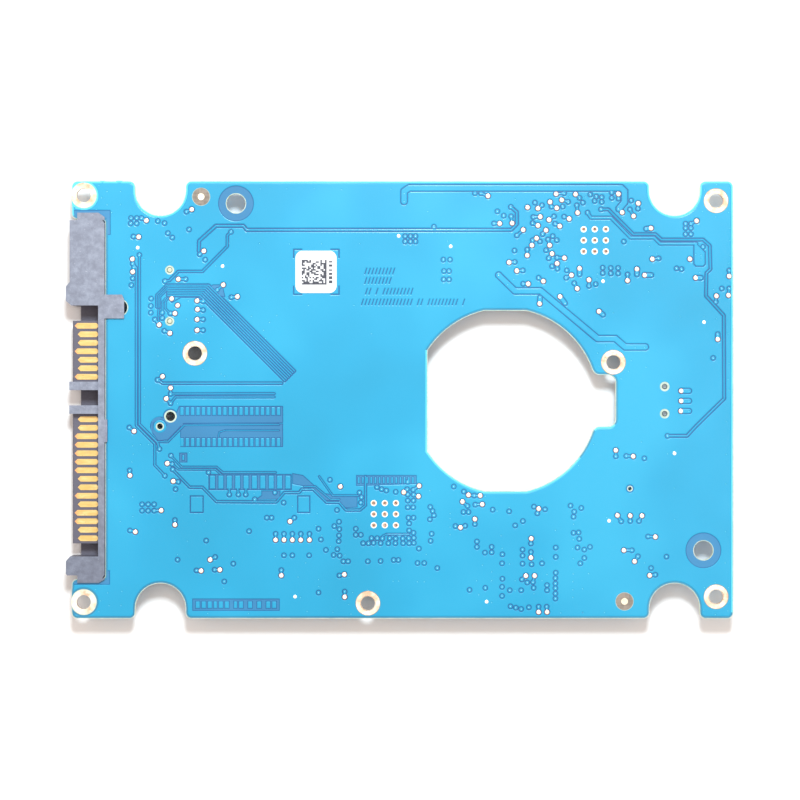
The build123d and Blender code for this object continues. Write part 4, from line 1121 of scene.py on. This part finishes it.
def turned_rings(name, places, profile, material, around=20):
    """Many copies of one small ring, joined in a piece; profile is a closed (radius, z) loop."""
    points, faces, levels = [], [], len(profile)
    for x, y in places:
        first = len(points)
        for i in range(around):
            a = math.tau * i / around
            points += [(x + r * math.cos(a), y + r * math.sin(a), z) for r, z in profile]
        for i in range(around):
            here, ahead = first + i * levels, first + (i + 1) % around * levels
            for k in range(levels):
                n = (k + 1) % levels
                faces.append((here + k, ahead + k, ahead + n, here + n))
    piece = mesh_object(name, points, faces, [material], smooth=True)
    shell = bmesh.new()
    shell.from_mesh(piece.data)
    bmesh.ops.recalc_face_normals(shell, faces=shell.faces)
    shell.to_mesh(piece.data)
    shell.free()
    return piece


def loop_middles(node, low, high):
    """Middles of a CAD sheet's round holes whose radius lies between two values."""
    places = []
    for loop in mask_loops(node, 1):
        p = np.array(loop)
        wide, tall = p.max(0) - p.min(0)
        if low < wide / 2 < high and abs(wide - tall) < 0.02:
            places.append(tuple((p.min(0) + p.max(0)) / 2))
    return sorted(places)


via_collars = turned_rings("thermal_via_collars",
                           loop_middles("outer_solder_mask", 0.44, 0.47),
                           raised(OUTER, (0.178, -0.02), (0.30, -0.004), (0.27, 0.006),
                                  (0.19, 0.003)),
                           solder_paint("bare_copper", (178, 116, 82), (216, 154, 118),
                                        metallic=0.2, lumps=0.2))
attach(via_collars, "board")

land_spots = loop_middles("outer_solder_mask", 1.8, 1.9)
land_rims = turned_rings("screw_land_rims", land_spots,
                         raised(OUTER, (1.77, -0.01), (1.86, -0.01), (1.85, 0.02),
                                (1.79, 0.006)),
                         solder_paint("tarnished_rim", (150, 112, 88), (196, 156, 126),
                                      metallic=0.2, lumps=0.5), around=64)
land_lips = turned_rings("screw_land_lips", land_spots,
                         raised(OUTER, (1.055, -0.02), (1.16, -0.005), (1.14, 0.005),
                                (1.07, -0.004)),
                         solder_paint("barrel_lip", (160, 108, 82), (214, 168, 136),
                                      metallic=0.2, lumps=0.6), around=48)
for piece in (land_rims, land_lips):
    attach(piece, "board")

peg_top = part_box("motor_connector_housing")[1].z / MM
peg_holes = loop_middles("outer_solder_mask", 0.41, 0.422)
peg_heads = turned_solids("motor_peg_heads", [q for q in peg_holes if q[0] > 0],
                          raised(peg_top, (0.36, 0), (0.36, 0.03), (0.30, 0.07), (0.20, 0.05),
                                 (0.12, 0.02), (0, 0.05)),
                          [0] * 5,
                          [plastic_paint("peg_plastic", (92, 106, 112), (112, 126, 132),
                                         (140, 152, 158), roughness=0.25, grain=0.2)])
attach(peg_heads, "board")
# The head pegs' outer lip is painted dark as painted shade of the gap round each peg.
head_pegs = turned_solids("head_peg_heads", [q for q in peg_holes if q[0] < 0],
                          raised(peg_top, (0.37, 0), (0.37, 0.03), (0.32, 0.06), (0.16, 0.07),
                                 (0, 0.07)),
                          [1, 1, 0, 0],
                          [plastic_paint("pale_peg", (186, 190, 168), (198, 202, 180),
                                         (212, 216, 196), roughness=0.35, grain=0.2),
                           plastic_paint("pale_peg_painted_shade", (92, 104, 88), (110, 122, 104),
                                         (132, 142, 122), roughness=0.4, grain=0.2)])
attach(head_pegs, "board")


# ================================================================ the label's print
def print_cells(name, cells, z, thick):
    """Flat printed patches, each a thin box: (x0, x1, y0, y1)."""
    points, faces = [], []
    for x0, x1, y0, y1 in cells:
        first = len(points)
        points += [(x, y, h) for h in (z, z + thick) for x, y in rectangle(x0, x1, y0, y1)]
        faces += [tuple(first + i for i in f) for f in
                  ((3, 2, 1, 0), (4, 5, 6, 7), (0, 1, 5, 4), (1, 2, 6, 5), (2, 3, 7, 6),
                   (3, 0, 4, 7))]
    return mesh_object(name, points, faces, [ink_paint()])


label_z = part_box("identification_label")[1].z / MM
INK = 0.004                                          # thickness of the print
CODE_CELLS, CODE_X, CODE_Y, CODE_SIDE = 16, -14.6, 17.1, 3.7
step = CODE_SIDE / CODE_CELLS
cells = [(CODE_X, CODE_X + CODE_SIDE, CODE_Y, CODE_Y + step),
         (CODE_X + CODE_SIDE - step, CODE_X + CODE_SIDE, CODE_Y + step, CODE_Y + CODE_SIDE)]
for i in range(CODE_CELLS - 1):
    for j in range(1, CODE_CELLS):
        if dice.random() < 0.5:
            cells.append((CODE_X + i * step, CODE_X + (i + 1) * step,
                          CODE_Y + j * step, CODE_Y + (j + 1) * step))
for y in spread(17.3, 0.62, 6):
    cells.append((-10.55, -10.05, y, y + dice.choice((0.2, 0.32, 0.42))))
label_print = print_cells("label_print", cells, label_z, INK)
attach(label_print, "board")


# ================================================================ the inner face
inner = Layer()
for x, y in VIAS + [(MOTOR_VIA_X, y) for y in MOTOR_VIA_YS]:
    inner.ring(x, y, VIA_CLEAR, VIA_COPPER)
    inner.dimples.append((x, y, 0.15, DIMPLE))
for x, y in STITCHES:
    inner.dimples.append((x, y, 0.18, DIMPLE))
# Bundles of parallel traces: (count, pitch, width, centre line)
INNER_BUNDLES = [
    (12, 0.26, 0.12, [(-16.2, -17.5), (-11.5, -17.5), (-9.2, -17.5)]),
    (7, 0.26, 0.12, [(-40.5, 8.5), (-24.0, 8.5), (-12.0, -3.5), (-3.4, -9.6)]),
    (8, 0.26, 0.12, [(-25.8, 15.5), (-20.0, 15.5), (-6.0, 1.5), (-2.2, -9.6)]),
    (5, 0.26, 0.12, [(5.0, -20.5), (8.6, -20.5), (9.0, -20.5)]),
    (6, 0.28, 0.13, [(5.5, -15.2), (28.0, -15.2), (44.0, 0.8), (44.0, 8.0)]),
    (3, 0.5, 0.28, [(33.2, 22.0), (36.0, 22.0), (43.6, 14.4), (43.6, 2.0)]),
    (2, 0.4, 0.16, [(-40.0, 3.5), (-37.5, 3.5)]),
    (4, 0.3, 0.14, [(-38.0, -12.0), (-35.0, -12.0), (-34.0, -11.0)]),
]
for count, pitch, width, points in INNER_BUNDLES:
    inner.bundle(points, count, pitch, width)
inner_mask = make_relief("inner_mask", "inner_solder_mask", inner, -1,
                         INNER_CORE - 0.007, INNER, INNER_CORE - 0.0005)
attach(inner_mask, "board")
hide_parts("inner_solder_mask")


# ================================================================ stage
FLOOR = 0.9                                          # half the floor's side, in metres
floor_mesh = bpy.data.meshes.new("floor")
floor_mesh.from_pydata([(x, y, 0) for x, y in rectangle(-FLOOR, FLOOR, -FLOOR, FLOOR)], [],
                       [(0, 1, 2, 3)])
floor = place_object("floor", floor_mesh)
floor.location = (0, 0, -0.00002)
floor_paint = Paint("pale_floor", roughness=0.9, specular=0.1)
floor_paint.colour(floor_paint.ramp(floor_paint.noise(40, 2), (0.3, (248, 247, 246)),
                                    (0.7, (252, 251, 250))))
floor_mesh.materials.append(floor_paint.mat)

world = bpy.data.worlds.new("studio")
bpy.context.scene.world = world
world.use_nodes = True
sky = world.node_tree.nodes["Background"].inputs
sky["Color"].default_value = (1.0, 0.87, 0.80, 1.0)
sky["Strength"].default_value = 0.72


def lamp(name, toward, distance, size, power, colour=(1, 1, 1)):
    """A square soft light that looks at the board's middle."""
    data = bpy.data.lights.new(name, "AREA")
    data.shape = "SQUARE"
    data.size = size
    data.energy = power
    data.color = colour
    made = place_object(name, data)
    away = Vector(toward).normalized()
    made.location = away * distance
    made.rotation_mode = "QUATERNION"
    made.rotation_quaternion = away.to_track_quat("Z", "Y")
    made.visible_camera = False


lamp("key", (0.04, 0.52, 1.0), 0.42, 0.074, 1.46, (0.88, 1.0, 1.06))
lamp("fill", (-0.4, 0.1, 1.0), 1.5, 0.9, 2.4, (1.0, 0.95, 0.9))
lamp("sheen", (0.29, 0.03, 1.2), 1.235, 0.3, 0.95)

scene = bpy.context.scene
scene.view_settings.view_transform = "Standard"
scene.view_settings.look = "None"
scene.view_settings.exposure = 0.0
scene.view_settings.gamma = 1.0

CAMERA_X, CAMERA_Y = 0.00004, -0.00009               # metres, as is all of the camera
CAMERA_HEIGHT = 0.42                                 # above the outer face
VIEW_WIDTH = 0.1192                                  # what the frame spans at that face
SENSOR = 36                                          # millimetres
camera_data = bpy.data.cameras.new("camera")
camera_data.sensor_width = SENSOR
camera_data.lens = SENSOR * CAMERA_HEIGHT / VIEW_WIDTH
camera_data.clip_start, camera_data.clip_end = 0.01, 10
camera = place_object("camera", camera_data)
camera.location = (CAMERA_X, CAMERA_Y, OUTER * MM + CAMERA_HEIGHT)
camera.rotation_euler = (0, 0, 0)
scene.camera = camera

bpy.context.view_layer.update()
